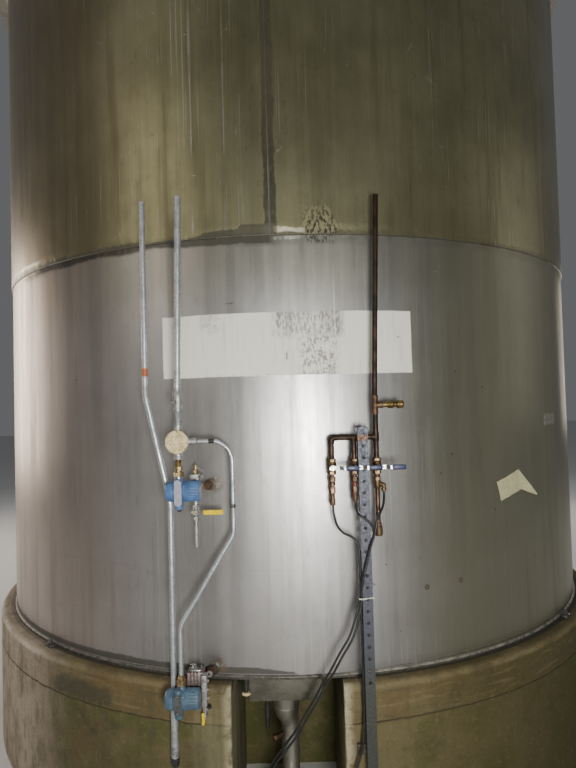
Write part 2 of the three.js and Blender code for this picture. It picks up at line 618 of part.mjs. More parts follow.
function addManifold() {
  const y = HEADER_Y;
  const [leftX, middleX, rightX] = VALVE_X;
  const drop = (x) => rod([x, y, HEADER_Z], [x, y, STEM_Z + 32], COPPER_RADIUS, 12);
  add('copper_header', join(
    rod([leftX, y, HEADER_Z], [rightX, y, HEADER_Z], COPPER_RADIUS, 12),
    rod([leftX - 12.7, y, HEADER_Z], [leftX + 22, y, HEADER_Z], 12.7, 12),
    rod([leftX, y, HEADER_Z + 12.7], [leftX, y, HEADER_Z - 22], 12.7, 12),
    drop(leftX), drop(middleX), drop(rightX),
    rod([rightX, y, HEADER_Z], [rightX, y, TEE_Z - 40], COPPER_RADIUS, 12),
  ), copper);
  add('copper_drop', join(
    rod([rightX, y, TEE_Z - 40 + SEAT], [rightX, y, TEE_Z + 50], COPPER_RADIUS, 12),
    rod([rightX, y, TEE_Z - 39], [rightX, y, TEE_Z + 40], 14, 12),
    rod([rightX, y, TEE_Z + 48], [rightX + COPPER_LEAN, y, CONDUIT_TOP], COPPER_RADIUS, 12),
    rod([rightX, y, TEE_Z], [rightX + 34, y, TEE_Z], 13, 12),
  ), copper);
  add('quick_coupler', join(
    rod([rightX + 34 + SEAT, y, TEE_Z], [rightX + 112, y, TEE_Z], 11, 12),
    rod([rightX + 52, y, TEE_Z], [rightX + 76, y, TEE_Z], 16, 12),
    rod([rightX + 90, y, TEE_Z], [rightX + 119, y, TEE_Z], 16.5, 12),
  ), brass);

  const clampX = POST_X - 8;
  add('header_clamp', cut(
    join(
      rod([clampX, y, HEADER_Z], [clampX + 22, y, HEADER_Z], COPPER_RADIUS + 3, 16),
      block([clampX, POST_FRONT + POST_SIZE + SEAT, HEADER_Z - 8], [clampX + 22, y, HEADER_Z + 8]),
    ),
    rod([clampX - 5, y, HEADER_Z], [clampX + 27, y, HEADER_Z], COPPER_RADIUS + SEAT, 16),
  ), galvanised);

  const top = STEM_Z + 32 - SEAT;
  VALVE_X.forEach((x, i) => {
    const foot = FITTING_FEET[i];
    add(`air_valve_${VALVE_NAMES[i]}`, join(
      rod([x, y, top], [x, y, STEM_Z - 34], 15, 12),
      rod([x, y, STEM_Z + 18], [x, y, STEM_Z - 18], VALVE_RADIUS, 16),
      rod([x, y, top], [x, y, STEM_Z + 20], 18, 6),
      rod([x, y, STEM_Z - 20], [x, y, STEM_Z - 34], 18, 6),
      rod([x, y, STEM_Z], [x, LEVER_BACK + SEAT, STEM_Z], 9, 12),
    ), brass);
    add(`air_lever_${VALVE_NAMES[i]}`, lever([x, LEVER_BACK, STEM_Z], 1, LEVER_LENGTH, 50, 18, 20),
      blueSleeve);
    const pieces = [
      rod([x, y, STEM_Z - 34 - SEAT], [x, y, foot], 9.5, 12),
      rod([x, y, STEM_Z - 44], [x, y, STEM_Z - 64], 14, 6),
      rod([x, y, STEM_Z - 84], [x, y, STEM_Z - 112], 13, 8),
    ];
    if (VALVE_NAMES[i] === 'right') {
      const elbow = x + ELBOW_REACH;
      pieces.push(rod([x, y, ELBOW_FOOT + 34], [elbow, y, ELBOW_FOOT + 24], 10, 8));
      pieces.push(rod([elbow, y, ELBOW_FOOT + 32], [elbow, y, ELBOW_FOOT], 8.5, 8));
      pieces.push(rod([x, y, foot + 1], [x, y, 1324], 13, 12, 16.5));
    } else {
      pieces.push(rod([x, y, foot + 30], [x, y, foot], 11.5, 12));
    }
    add(`air_fitting_${VALVE_NAMES[i]}`, join(...pieces), brass);
  });
}

// Air hoses. The left one runs down the post's edge, and the other two cross in front of the post.
function addHoses() {
  const y = HEADER_Y;
  const [leftX, middleX, rightX] = VALVE_X;
  const start = 0.8;
  const [backPort, frontPort] = ACTUATOR_PORT_Y;
  add('air_hose_left', hose([
    [leftX, y, FITTING_FEET[0] - start], [168, y, 1432], [173, -1907, 1404], [182, -1918, 1372],
    [203, -1933, 1346], [238, -1945, 1330], [262, -1948.5, 1298], [266, -1950, 1253], [266, -1950, 1177],
    [266, -1950, 1086], [266, -1950, 960], [266, -1950, 820], [266, -1950, 700], [265, -1950, 598],
    [256, -1952, 506], [229, -1955, 417], [190, -1952, 330], [140, -1935, 262], [90, -1905, 222],
    [58, -1876, ACTUATOR_Z + 1], [46, SIDE_PORT_Y, ACTUATOR_Z], [SIDE_PORT_END + start, SIDE_PORT_Y, ACTUATOR_Z],
  ], 60), blackHose);
  add('air_hose_middle', hose([
    [middleX, y, FITTING_FEET[1] - start], [260, y - 0.4, 1457], [260.3, -1913, 1446], [262, -1945, 1432],
    [266.5, -1977.5, 1424], [292, -1982, 1407], [314, -1981, 1384], [323, -1978, 1357], [314, -1974.5, 1320],
    [301, -1973, 1283], [288, -1973, 1236], [275, -1973.5, 1186], [264, -1972, 1130],
    [261.8, -1961.5, 1088], [246, -1966, 1033], [213, -1973, 943], [173, -1976, 880], [133, -1974, 810],
    [99, -1968, 756], [69, -1960, 698], [30, -1948, 632], [-10, -1930, 558], [-64, -1903, 476],
    [-110, -1868, 395], [-115, -1825, 320], [ACTUATOR_PORT_X, backPort - 4, 266],
    [ACTUATOR_PORT_X, backPort, ACTUATOR_PORT_TOP + start],
  ], 60), blackHose);
  add('air_hose_right', hose([
    [rightX + ELBOW_REACH, y, ELBOW_FOOT - start], [379, -1907, 1492], [376, -1920, 1474],
    [368, -1945, 1455], [354, -1970, 1435], [338, -1985, 1405], [326, -1991, 1357], [314, -1989, 1320],
    [302, -1987, 1283], [290, -1986, 1236], [277, -1985, 1186], [267, -1981.5, 1130], [264.8, -1974.5, 1088],
    [256, -1976, 1027], [223, -1984, 936], [183, -1987, 873], [143, -1985, 803], [109, -1979, 750],
    [79, -1971, 691], [40, -1959, 625], [0, -1943, 552], [-54, -1918, 470], [-104, -1890, 392],
    [-110, -1872, 320], [ACTUATOR_PORT_X, frontPort - 3, 266],
    [ACTUATOR_PORT_X, frontPort, ACTUATOR_PORT_TOP + start],
  ], 60), blackHose);

  const inner = [
    [313, -1924.4], [271, -1924.4], [260.8, -1944.2], [256.3, -1960], [257.8, -1978.6], [267.5, -1981.8],
    [313, -1966.4],
  ];
  const toVector = ([x, pointY]) => new THREE.Vector2(x, pointY);
  const band = new THREE.Shape(outset(inner, TIE_THICKNESS).map(toVector));
  band.holes.push(new THREE.Path(inner.map(toVector)));
  const tie = new THREE.ExtrudeGeometry(band, { depth: TIE_WIDTH, bevelEnabled: false });
  tie.translate(0, 0, TIE_Z - TIE_WIDTH / 2);
  add('hose_tie', tie, whiteNylon);
}

// Clips that hold the tank's floor plate down on the plinth.
function addAnchorClips() {
  const first = -40.4;
  for (let i = 0; i < 4; i += 1) {
    const clip = join(
      block([-30, -1878, PLINTH_HEIGHT], [30, -FLOOR_RADIUS - 1, LOWER_EDGE + SEAT + 4]),
      block([-30, -1878, LOWER_EDGE + SEAT], [30, -1843.5, LOWER_EDGE + 8]),
      rod([0, -1862, LOWER_EDGE], [0, -1862, LOWER_EDGE + 30], 8, 8),
      rod([0, -1862, LOWER_EDGE + 7], [0, -1862, LOWER_EDGE + 20], 13, 6),
    );
    clip.rotateZ(THREE.MathUtils.degToRad(first + 90 * i));
    add(`anchor_clip_${i + 1}`, clip, castMetal);
  }
}

addPlinth();
addShell();
addRoof();
addOutlet();
addConduits();
addTransmitters();
addSampleValve();
addPost();
addManifold();
addHoses();
addAnchorClips();

export default tank;
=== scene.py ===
"""Looks of a stainless storage tank on a concrete plinth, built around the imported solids.

Lengths are in millimetres until a mesh is made, +Z is up and the front faces -Y.
"""
import math

import bmesh
import bpy
from mathutils import Matrix, Vector, noise


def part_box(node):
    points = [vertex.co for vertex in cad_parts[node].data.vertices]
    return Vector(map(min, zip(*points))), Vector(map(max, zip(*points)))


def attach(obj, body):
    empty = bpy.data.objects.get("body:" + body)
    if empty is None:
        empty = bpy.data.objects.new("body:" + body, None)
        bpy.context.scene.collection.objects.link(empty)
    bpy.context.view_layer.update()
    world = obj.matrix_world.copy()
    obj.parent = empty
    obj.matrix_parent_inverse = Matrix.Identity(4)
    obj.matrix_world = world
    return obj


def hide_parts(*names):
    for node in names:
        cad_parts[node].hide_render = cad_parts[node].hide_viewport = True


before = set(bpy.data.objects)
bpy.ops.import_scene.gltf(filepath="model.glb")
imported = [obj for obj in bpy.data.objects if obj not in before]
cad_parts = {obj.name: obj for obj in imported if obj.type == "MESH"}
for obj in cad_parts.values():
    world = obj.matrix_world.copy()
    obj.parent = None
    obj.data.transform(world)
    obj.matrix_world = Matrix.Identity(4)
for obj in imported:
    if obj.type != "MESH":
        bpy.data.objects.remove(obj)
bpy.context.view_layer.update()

MM = 0.001
FRONT = Vector((0, -1, 0))
RIGHT = Vector((1, 0, 0))
TOP = Vector((0, 0, 1))

# Camera, fitted to the tank's outline, seam and foot.
CAMERA_PLACE = (0, -4.396, 1.881)
CAMERA_YAW, CAMERA_PITCH, CAMERA_ROLL = -0.002, 0.0314, -0.0272
CAMERA_LENS = 28.1

# Plinth.
PLINTH_RADIUS, PLINTH_HEIGHT, LIFT_JOINT = 1920, 720, 562
ARRIS_RADIUS = 32
SLOT_LEFT, SLOT_RIGHT, SLOT_BACK = -274.5, 190.5, -1200
CLIPS, FIRST_CLIP_ANGLE = 4, -40.4

# Tank.
INSIDE_RADIUS, PLATE = 1828.8, 6.35
SHELL_RADIUS = INSIDE_RADIUS + PLATE
UPPER_RADIUS = SHELL_RADIUS + 0.3 + PLATE
LOWER_EDGE, SEAM_HEIGHT, LAP, SHELL_TOP = 728, 2607, 25, 4436
SEAM_ANGLE = -2.0
ROOF_EDGE = UPPER_RADIUS + 50
ROOF_RISE, ROOF_PLATE = 185, 5
ROOF_LOWEST = SHELL_TOP + 6.3
ROUND_SIDES = 288
MANWAY = (0, 1050)
MANWAY_RADIUS, COVER_RADIUS, COVER_BOLTS, BOLT_CIRCLE = 254, 310, 20, 284

# Outlet.
SUMP_LOW, SUMP_HIGH = (-208.5, -1799.5, 610), (106.5, -1484.5, 720)
NECK_RADIUS, PIPE_RADIUS, PIPE_BORE, FERRULE_RADIUS = 57.15, 38.1, 36.1, 45.5
NECK_X, PIPE_X, OUTLET_Y = -52, -36, -1690
PROBE = (-217, -1822)
GLAND = (-133, -1742)
ACTUATOR_Z, ACTUATOR_FRONT = 209, -1895
AIR_PORT_X, AIR_PORTS_Y, FRONT_PORT_Y = -104, (-1780, -1855), -1870

# Conduits and transmitters.
STATION_Y = -1944
LONG_Y, LONG_X, LONG_TOP_X = -1889.7, -509, -603
CONDUIT_TOP = 2745
LONG_RADIUS, DROP_RADIUS, BRANCH_RADIUS = 11.7, 13.35, 9
BOX_X, BOX_Z = -461, 1734
BRANCH_X, LOWER_PORT_X = -241, -467
UPPER_PLACE, LOWER_PLACE = (-443, STATION_Y, 1533), (-462, STATION_Y, 701)
BLOCK_BACK = STATION_Y + 42.3
SAMPLE_X, SAMPLE_Y, SAMPLE_STEM = -404, -1876, 1441
DRAIN = (-379, -1912)

# Air manifold on its post.
POST_LEFT, POST_RIGHT, POST_FRONT, POST_BACK = 271.35, 312.65, -1966, -1924.7
POST_TOP = 1775
HOLE_PITCH, HOLE_RADIUS, TOP_HOLE, LOWEST_HOLE = 47.2, 7.1, 1745.5, 745
HEADER_Y, HEADER_Z, TEE_Z = -1905.4, 1731, 1863
COPPER, COPPER_LEAN = 11.1, 30
VALVES = {"left": 167, "middle": 260, "right": 353}
STEM_Z, LEVER_BACK, LEVER_LENGTH = 1613, -1972.5, 105
FITTING_FEET = {"left": 1452, "middle": 1466, "right": 1376}
HOSE_RADIUS = 4.75
TIE_Z = 1091


# Materials. Heights are in metres above the ground, angles in degrees round the tank from its front.

class Value:
    """A number that a node gives out. Arithmetic with it adds nodes, and | takes the larger of two."""

    def __init__(self, finish, socket):
        self.finish, self.socket = finish, socket

    def math(self, operation, other=0.0):
        return self.finish.math(operation, self, other)

    def __add__(self, other):
        return self.math("ADD", other)

    def __sub__(self, other):
        return self.math("SUBTRACT", other)

    def __rsub__(self, other):
        return self.finish.math("SUBTRACT", other, self)

    def __mul__(self, other):
        return self.math("MULTIPLY", other)

    def __or__(self, other):
        return self.math("MAXIMUM", other)

    def span(self, low, high, start=0.0, end=1.0):
        """Moves smoothly from start to end while this value goes from low to high."""
        made = self.finish.node("MapRange", interpolation_type="SMOOTHSTEP")
        for socket, given in zip(made.inputs, (self, low, high, start, end)):
            self.finish.feed(socket, given)
        return Value(self.finish, made.outputs[0])

    def band(self, low, high, soft):
        """1 between low and high, and 0 outside."""
        return self.span(low - soft, low + soft) * self.span(high - soft, high + soft, 1.0, 0.0)


class Finish:
    """A procedural material, whose colour is built up by one stain over another."""

    def __init__(self, name, metallic=0.0, roughness=0.5):
        self.material = bpy.data.materials.new(name)
        self.material.use_nodes = True
        self.tree = self.material.node_tree
        self.shader = self.tree.nodes["Principled BSDF"]
        self.shader.inputs["Metallic"].default_value = metallic
        self.shader.inputs["Roughness"].default_value = roughness
        self.place = self.node("TexCoord").outputs["Object"]
        self.colour = None

    def node(self, kind, **settings):
        made = self.tree.nodes.new("ShaderNode" + kind)
        for key, value in settings.items():
            setattr(made, key, value)
        return made

    def feed(self, socket, value):
        if isinstance(value, Value):
            value = value.socket
        if isinstance(value, bpy.types.NodeSocket):
            self.tree.links.new(value, socket)
        else:
            socket.default_value = (*value, 1.0) if socket.type == "RGBA" else value

    def math(self, operation, first, second):
        made = self.node("Math", operation=operation)
        self.feed(made.inputs[0], first)
        self.feed(made.inputs[1], second)
        return Value(self, made.outputs[0])

    def mix(self, share, first, second):
        made = self.node("Mix", data_type="RGBA")
        for i, value in ((0, share), (6, first), (7, second)):
            self.feed(made.inputs[i], value)
        return made.outputs[2]

    def base(self, share, first, second):
        self.colour = self.mix(share, first, second)

    def stain(self, share, colour):
        self.colour = self.mix(share, self.colour, colour)

    def texture(self, kind, output, scale, upright, settings, **inputs):
        """A texture in the object's metres. Upright is its scale up the tank against the one across."""
        made = self.node(kind, **settings)
        place = self.place
        if upright != 1.0:
            stretch = self.node("VectorMath", operation="MULTIPLY")
            self.feed(stretch.inputs[0], place)
            stretch.inputs[1].default_value = (1, 1, upright)
            place = stretch.outputs[0]
        self.feed(made.inputs["Vector"], place)
        for key, value in (("Scale", scale), *inputs.items()):
            made.inputs[key].default_value = value
        return Value(self, made.outputs[output])

    def noise(self, scale, detail=3.0, roughness=0.55, upright=1.0):
        return self.texture("TexNoise", "Fac", scale, upright, {}, Detail=detail, Roughness=roughness)

    def cells(self, scale, feature="F1", upright=1.0):
        return self.texture("TexVoronoi", 0, scale, upright, {"feature": feature})

    def axes(self):
        made = self.node("SeparateXYZ")
        self.feed(made.inputs[0], self.place)
        return [Value(self, socket) for socket in made.outputs]

    def around(self):
        """Degrees round the tank, 0 at the front and positive to the right, and metres up."""
        x, y, z = self.axes()
        return self.math("ARCTAN2", x, y * -1.0) * (180 / math.pi), z

    def near(self, degrees, level, radius, soft):
        """A mask of 1 within a radius, in metres, of a point on the shell."""
        angle, z = self.around()
        across, up = (angle - degrees) * (math.radians(1) * SHELL_RADIUS * MM), z - level
        return (across * across + up * up).math("SQRT").span(radius, radius + soft, 1.0, 0.0)

    def done(self, height=None, depth=0.0, inputs=None):
        """Wires up the colour, a bump of a depth in millimetres and other inputs of the shader."""
        for key, value in {"Base Color": self.colour, **(inputs or {})}.items():
            self.feed(self.shader.inputs[key], value)
        if height:
            made = self.node("Bump")
            made.inputs["Strength"].default_value = 1.0
            made.inputs["Distance"].default_value = depth * MM
            self.feed(made.inputs["Height"], height)
            self.feed(self.shader.inputs["Normal"], made.outputs[0])
        return self.material


def plate_base(finish, light, dark, stain):
    """Weathered rolled plate. Lays its colour, and gives its roughness and its height."""
    runs = finish.noise(11.0, 6.0, 0.6, 0.05)
    grain = finish.noise(170.0, 2.0, 0.5, 0.02)
    marks = finish.noise(34.0, 5.0, 0.7, 0.5)
    finish.base(finish.noise(1.7, 5.0, 0.6).span(0.35, 0.65), dark, light)
    finish.stain(runs.span(0.5, 0.7, 0.0, 0.6), stain)
    finish.stain(grain.span(0.3, 0.75, 0.0, 0.3), light)
    scratch = finish.cells(10.0, "DISTANCE_TO_EDGE", 0.3).span(0.002, 0.009, 1.0, 0.0)
    scratch = scratch * finish.noise(11.0, 4.0, 0.7).span(0.58, 0.66)
    finish.stain(scratch * 0.5, (0.72, 0.72, 0.69))
    wiped = finish.noise(150.0, 2.0, 0.5, 0.006).span(0.6, 0.7)
    wiped = wiped * finish.noise(2.6, 3.0, 0.6).span(0.48, 0.6)
    finish.stain(wiped * 0.5, (0.66, 0.65, 0.6))
    finish.stain(marks.span(0.56, 0.74, 0.0, 0.4), stain)
    return runs.span(0.3, 0.8, 0.28, 0.46) + marks * 0.1, grain * 0.5 + marks * 0.8


def side_light_tints(angle):
    """Shares of a painted tint of the light on the right side and of one on the left, none of them at the
    back.
    """
    right = angle.span(8.0, 26.0) * angle.span(150.0, 110.0)
    left = angle.span(-18.0, -34.0) * angle.span(-150.0, -110.0)
    return right, left


def seam_dip(finish, z):
    """The weld has drawn the plate in unevenly along the seam."""
    uneven = finish.noise(3.6, 4.0, 0.6).span(0.36, 0.62, 0.15, 1.0)
    return (z - SEAM_HEIGHT * MM).math("ABSOLUTE").span(0.0, 0.05, -12.0, 0.0) * uneven


def foot_grime(finish, angle, z, wobble, ragged):
    """Grime over the foot weld. Its upper edge steps down to the right of the outlet."""
    edge = angle.span(-7.0, -1.2, 0.768, 0.752) + angle.span(-0.6, 0.4, 0.0, -0.018)
    edge = edge + angle.span(1.0, 22.0, 0.0, 0.014) + wobble * 0.006
    grime = (edge - z).span(-0.002, 0.005) * ragged.span(0.22, 0.42, 0.6, 1.0)
    weld_line = z.band(0.7365, 0.7405, 0.001)
    dirt = grime * weld_line.span(0.0, 1.0, 0.94, 0.4)
    finish.stain(dirt, (0.05, 0.049, 0.038))
    return dirt


def under_seam(finish, angle, z, wobble, ragged):
    """The smear that hangs under the lap seam, with pale drops and a small smudge below."""
    edge = z + wobble * 0.008
    under = (edge - angle.span(-20.0, -8.0, 2.579, 2.564)).span(0.0, 0.012)
    under = under * angle.band(-21.5, -1.5, 0.9) * ragged.span(0.2, 0.34, 0.5, 1.0)
    spill = edge.span(2.553, 2.575) * angle.band(2.7, 6.6, 0.5)
    spill = spill * finish.noise(80.0, 4.0, 0.7, 0.5).span(0.49, 0.53)
    finish.stain((under | spill) * 0.92, (0.05, 0.048, 0.034))
    far_under = angle.band(-46.0, -20.0, 3.0) * edge.span(2.568, 2.586)
    finish.stain(far_under * 0.85, (0.065, 0.06, 0.046))
    drops = angle.band(-1.5, 2.2, 0.2) * edge.band(2.585, 2.598, 0.003) * ragged.span(0.44, 0.52)
    finish.stain(drops * 0.85, (0.68, 0.66, 0.55))
    smudge = z.band(2.3145, 2.3195, 0.003) * angle.band(-8.8, -7.1, 0.15)
    smudge = smudge * finish.noise(70.0, 3.0, 0.6).span(0.47, 0.56)
    finish.stain(smudge * 0.75, (0.08, 0.075, 0.055))
    return under | spill


def rust_marks(finish, z, ragged):
    """Brown drips, spots and rings of rust round the two fittings that pierce the plate."""
    drips = finish.noise(24.0, 4.0, 0.6, 0.07).span(0.64, 0.76) * z.span(0.73, 1.6, 1.0, 0.15)
    finish.stain(drips * 0.5, (0.19, 0.15, 0.10))
    spots = finish.cells(9.0).span(0.02, 0.055, 1.0, 0.0) * finish.noise(1.3, 1.0).span(0.5, 0.58)
    finish.stain(spots * 0.85, (0.13, 0.08, 0.04))
    for degrees, level, strength in ((18.4, 1.058, 0.75), (24.0, 1.065, 0.6)):
        rim = finish.near(degrees, level, 0.009, 0.006) - finish.near(degrees, level, 0.002, 0.005) * 0.6
        finish.stain(rim * strength, (0.14, 0.095, 0.055))
    rings = finish.near(-10.4, 1.541, 0.022, 0.03) | finish.near(-10.6, 0.768, 0.024, 0.035)
    finish.stain(rings * ragged.span(0.35, 0.6) * 0.6, (0.17, 0.105, 0.055))
    line = z.band(1.1715, 1.1735, 0.001) * finish.noise(2.0, 3.0).span(0.45, 0.55)
    finish.stain(line * 0.35, (0.16, 0.15, 0.13))


def white_rectangle(finish, angle, z, wobble, ragged):
    """The painted rectangle, worn to the plate in its upper middle. Gives the paint and its worn lace."""
    across, up = angle + wobble * 0.06, z + wobble * 0.002
    field = across.band(-17.6, 17.25, 0.06) * up.band(2.0, 2.272, 0.002)
    chips = finish.noise(46.0, 7.0, 0.75, 0.55).span(0.3, 0.35)
    rubbed = across.band(-1.9, 7.4, 0.6) * up.span(2.15, 2.185)
    bare = rubbed * finish.noise(60.0, 6.0, 0.75, 0.35).span(0.3, 0.44, 0.25, 1.0)
    lace = across.band(1.6, 6.4, 0.9) * up.span(2.19, 2.15)
    lace = lace * finish.noise(85.0, 6.0, 0.8, 0.45).span(0.5, 0.56)
    cover = field * chips * (1.0 - (bare | lace) * 0.9)
    white = finish.mix(finish.noise(3.0, 5.0, 0.6), (0.80, 0.765, 0.63), (0.88, 0.865, 0.80))
    streaks = finish.noise(60.0, 4.0, 0.6, 0.06).span(0.52, 0.74, 0.0, 0.35)
    white = finish.mix(streaks, white, (0.42, 0.41, 0.36))
    smudge = finish.near(-10.6, 2.24, 0.02, 0.05) * ragged.span(0.35, 0.6)
    white = finish.mix(smudge * 0.6, white, (0.36, 0.35, 0.31))
    finish.stain(cover, white)
    soot = rubbed * field * finish.noise(110.0, 5.0, 0.75, 0.3).span(0.45, 0.58)
    finish.stain(soot * 0.75, (0.12, 0.115, 0.085))
    finish.stain(lace * field * 0.75, (0.17, 0.16, 0.12))
    foot_line = up.band(1.998, 2.008, 0.004) * across.band(-13.0, 8.0, 1.5)
    foot_line = foot_line * finish.noise(30.0, 6.0, 0.75).span(0.48, 0.6)
    tear = angle.band(-0.32, -0.12, 0.05) * up.band(2.064, 2.098, 0.008)
    spot = finish.near(15.27, 2.157, 0.002, 0.004)
    finish.stain((tear | spot | foot_line * 0.6) * 0.8, (0.10, 0.095, 0.07))
    return cover, lace * field


def lower_shell_finish():
    finish = Finish("weathered_plate_lower", 0.85)
    roughness, height = plate_base(finish, (0.46, 0.45, 0.44), (0.355, 0.345, 0.33), (0.235, 0.22, 0.19))
    angle, z = finish.around()
    wobble = finish.noise(5.0, 6.0, 0.7).span(0.25, 0.75, -1.0, 1.0)
    ragged = finish.noise(60.0, 5.0, 0.7)

    # Painted tint of the light: yellower and darker on the right and along the top, browner on the left.
    right_light_tint, left_light_tint = side_light_tints(angle)
    finish.stain(right_light_tint * 0.7 | z.span(2.2, 2.5, 0.0, 0.4), (0.26, 0.25, 0.15))
    finish.stain(left_light_tint * 0.5, (0.36, 0.285, 0.235))
    dirt = foot_grime(finish, angle, z, wobble, ragged) | under_seam(finish, angle, z, wobble, ragged)
    rust_marks(finish, z, ragged)

    # Painted shadow: a dark strip on the plate behind the post, which shows through the post's holes.
    post_shadow = angle.band(9.15, 10.25, 0.15) * z.span(1.79, 1.76)
    finish.stain(post_shadow * 0.93, (0.02, 0.019, 0.016))
    cover, lace = white_rectangle(finish, angle, z, wobble, ragged)
    painted = cover | lace | post_shadow | dirt
    return finish.done(height + cover * 0.8 + seam_dip(finish, z), 0.35, {
        "Metallic": painted.span(0.0, 1.0, 0.85, 0.02), "Roughness": roughness + cover * 0.25})


def upper_shell_finish():
    finish = Finish("weathered_plate_upper", 0.82)
    # The darker olive of this plate towards the front is painted shade and a painted warm tint of the light.
    roughness, height = plate_base(finish, (0.34, 0.322, 0.19), (0.225, 0.212, 0.12), (0.14, 0.13, 0.068))
    angle, z = finish.around()
    # A painted brown tint of the warm light on the left. From the sides round to the back the plate turns to
    # its own streaky grey.
    finish.stain(side_light_tints(angle)[1] * 0.5, (0.2, 0.145, 0.095))
    streaks = finish.noise(7.0, 5.0, 0.65, 0.06).span(0.35, 0.65)
    grey = finish.mix(streaks, (0.30, 0.287, 0.255), (0.2, 0.19, 0.162))
    finish.stain(angle.math("ABSOLUTE").span(38.0, 75.0, 0.0, 0.75), grey)
    wobble = finish.noise(6.0, 6.0, 0.7).span(0.25, 0.75, -1.0, 1.0)
    ragged = finish.noise(48.0, 6.0, 0.75, 0.6)

    # Dirt that lies along the lap seam, heavier to the left of the middle.
    level = z + wobble * 0.01
    top_edge = angle.span(-16.0, -8.0, 2.612, 2.632) + angle.span(-6.6, -5.8, 0.0, 0.022)
    heavy = (level - top_edge).span(-0.004, 0.004, 1.0, 0.0) * angle.band(-20.5, -1.3, 0.8)
    left_line = angle.band(-60.0, -20.0, 3.0) * level.span(2.63, 2.613, 0.0, 0.92)
    thin_dirt = level.span(2.612, 2.63, 1.0, 0.0) * ragged.span(0.36, 0.56)
    line = heavy * 0.9 | left_line | thin_dirt * 0.5
    finish.stain(line, (0.06, 0.058, 0.038))

    # A pale strip far left over the seam, a painted reflection, and a pale dab in the middle.
    strip = angle.band(-52.5, -43.5, 1.5) * level.band(2.634, 2.65, 0.004)
    finish.stain(strip * 0.75, (0.62, 0.58, 0.5))
    dab = angle.band(-1.5, 2.6, 0.2) * level.band(2.613, 2.635, 0.004)
    finish.stain(dab * 0.9, (0.8, 0.75, 0.55))

    # The smear beside the vertical weld and a patch of rust speckles to its right.
    weld = (angle + wobble * 0.25).band(-2.75, -1.2, 0.12) * z.span(3.4, 2.8, 0.45, 1.0)
    finish.stain(weld * ragged.span(0.3, 0.6, 0.7, 1.0) * 0.85, (0.095, 0.092, 0.064))
    loose_edge = angle + wobble * 0.9
    patch = loose_edge.span(2.2, 3.3) * (z + wobble * 0.05).span(2.64, 2.80, 1.0, 0.0)
    patch = patch * (loose_edge - z.span(2.62, 2.78, 6.8, 5.3)).span(-0.6, 0.6, 1.0, 0.0)
    finish.stain(patch * 0.4, (0.26, 0.235, 0.12))
    speckle = patch * finish.noise(80.0, 4.0, 0.7, 0.5).span(0.49, 0.53)
    finish.stain(speckle * 0.95, (0.03, 0.027, 0.017))
    return finish.done(height + seam_dip(finish, z), 0.35, {
        "Metallic": (line | patch).span(0.0, 1.0, 0.82, 0.15), "Roughness": roughness})


def plain_steel(name, light, dark, stain):
    finish = Finish(name, 0.8)
    roughness, height = plate_base(finish, light, dark, stain)
    dirt = finish.noise(26.0, 6.0, 0.7).span(0.52, 0.72, 0.0, 0.6)
    finish.stain(dirt, (0.13, 0.125, 0.095))
    return finish.done(height, 0.3, {"Roughness": roughness + dirt * 0.25})


def weld_finish():
    finish = Finish("weld_bead", 0.85)
    ripple = finish.noise(220.0, 3.0, 0.6)
    tint = finish.noise(18.0, 4.0, 0.6)
    finish.base(tint.span(0.35, 0.65), (0.46, 0.45, 0.42), (0.24, 0.225, 0.18))
    finish.stain(ripple.span(0.5, 0.8, 0.0, 0.6), (0.1, 0.09, 0.07))
    return finish.done(ripple, 0.6, {"Roughness": tint.span(0.3, 0.7, 0.3, 0.55)})


def foot_weld_finish():
    """Darker at the left, brighter from the outlet on."""
    finish = Finish("dull_weld", 0.5, 0.55)
    angle = finish.around()[0]
    cloud = finish.noise(30.0, 5.0, 0.65)
    shade = cloud.span(0.36, 0.64)
    left = finish.mix(shade, (0.06, 0.057, 0.045), (0.15, 0.142, 0.12))
    right = finish.mix(shade, (0.15, 0.14, 0.11), (0.36, 0.34, 0.28))
    finish.base(angle.span(3.0, 13.0), left, right)
    return finish.done(cloud, 0.3, {"Metallic": angle.span(-20.0, 10.0, 0.1, 0.5)})


def top_lift_stains(finish, angle, z, far_left, lit_patch_noise, patchy, pale):
    """Brush marks, a paler arris (wear and a painted highlight, brightest at the far left), moss at the left
    and the dark ring under the tank's foot (dirt and painted shade).
    """
    x, y = finish.axes()[:2]
    brushed = finish.noise(3.4, 5.0, 0.65, 10.0)
    finish.stain(brushed.span(0.52, 0.68, 0.0, 0.45), (0.07, 0.06, 0.035))
    finish.stain(brushed.span(0.34, 0.46, 0.35, 0.0), (0.25, 0.205, 0.115))
    # A paler band along the arris: partly wear and partly a painted highlight, which is brightest at the far
    # left.
    arris = (z + lit_patch_noise.span(0.2, 0.8, -0.008, 0.008)).band(0.694, 0.714, 0.008)
    arris = arris * patchy.span(0.62, 0.42, 0.35, 1.0)
    finish.stain(arris * 0.5, (0.26, 0.21, 0.115))
    finish.stain(arris * far_left * 0.9, (0.74, 0.66, 0.54))
    mossy = (angle + patchy.span(0.2, 0.8, -1.6, 1.6)).band(-36.5, -25.0, 0.7)
    mossy = mossy * (z + pale.span(0.2, 0.8, -0.02, 0.02)).band(0.572, 0.648, 0.01)
    finish.stain(mossy * 0.7, (0.05, 0.047, 0.03))
    # A dark ring on the concrete round the tank's foot: dirt, and painted shade under the floor plate's
    # edge.
    ring = (x * x + y * y).math("SQRT").span(1.872, 1.858)
    finish.stain(ring * far_left.span(0.0, 1.0, 0.9, 0.45), (0.022, 0.02, 0.014))


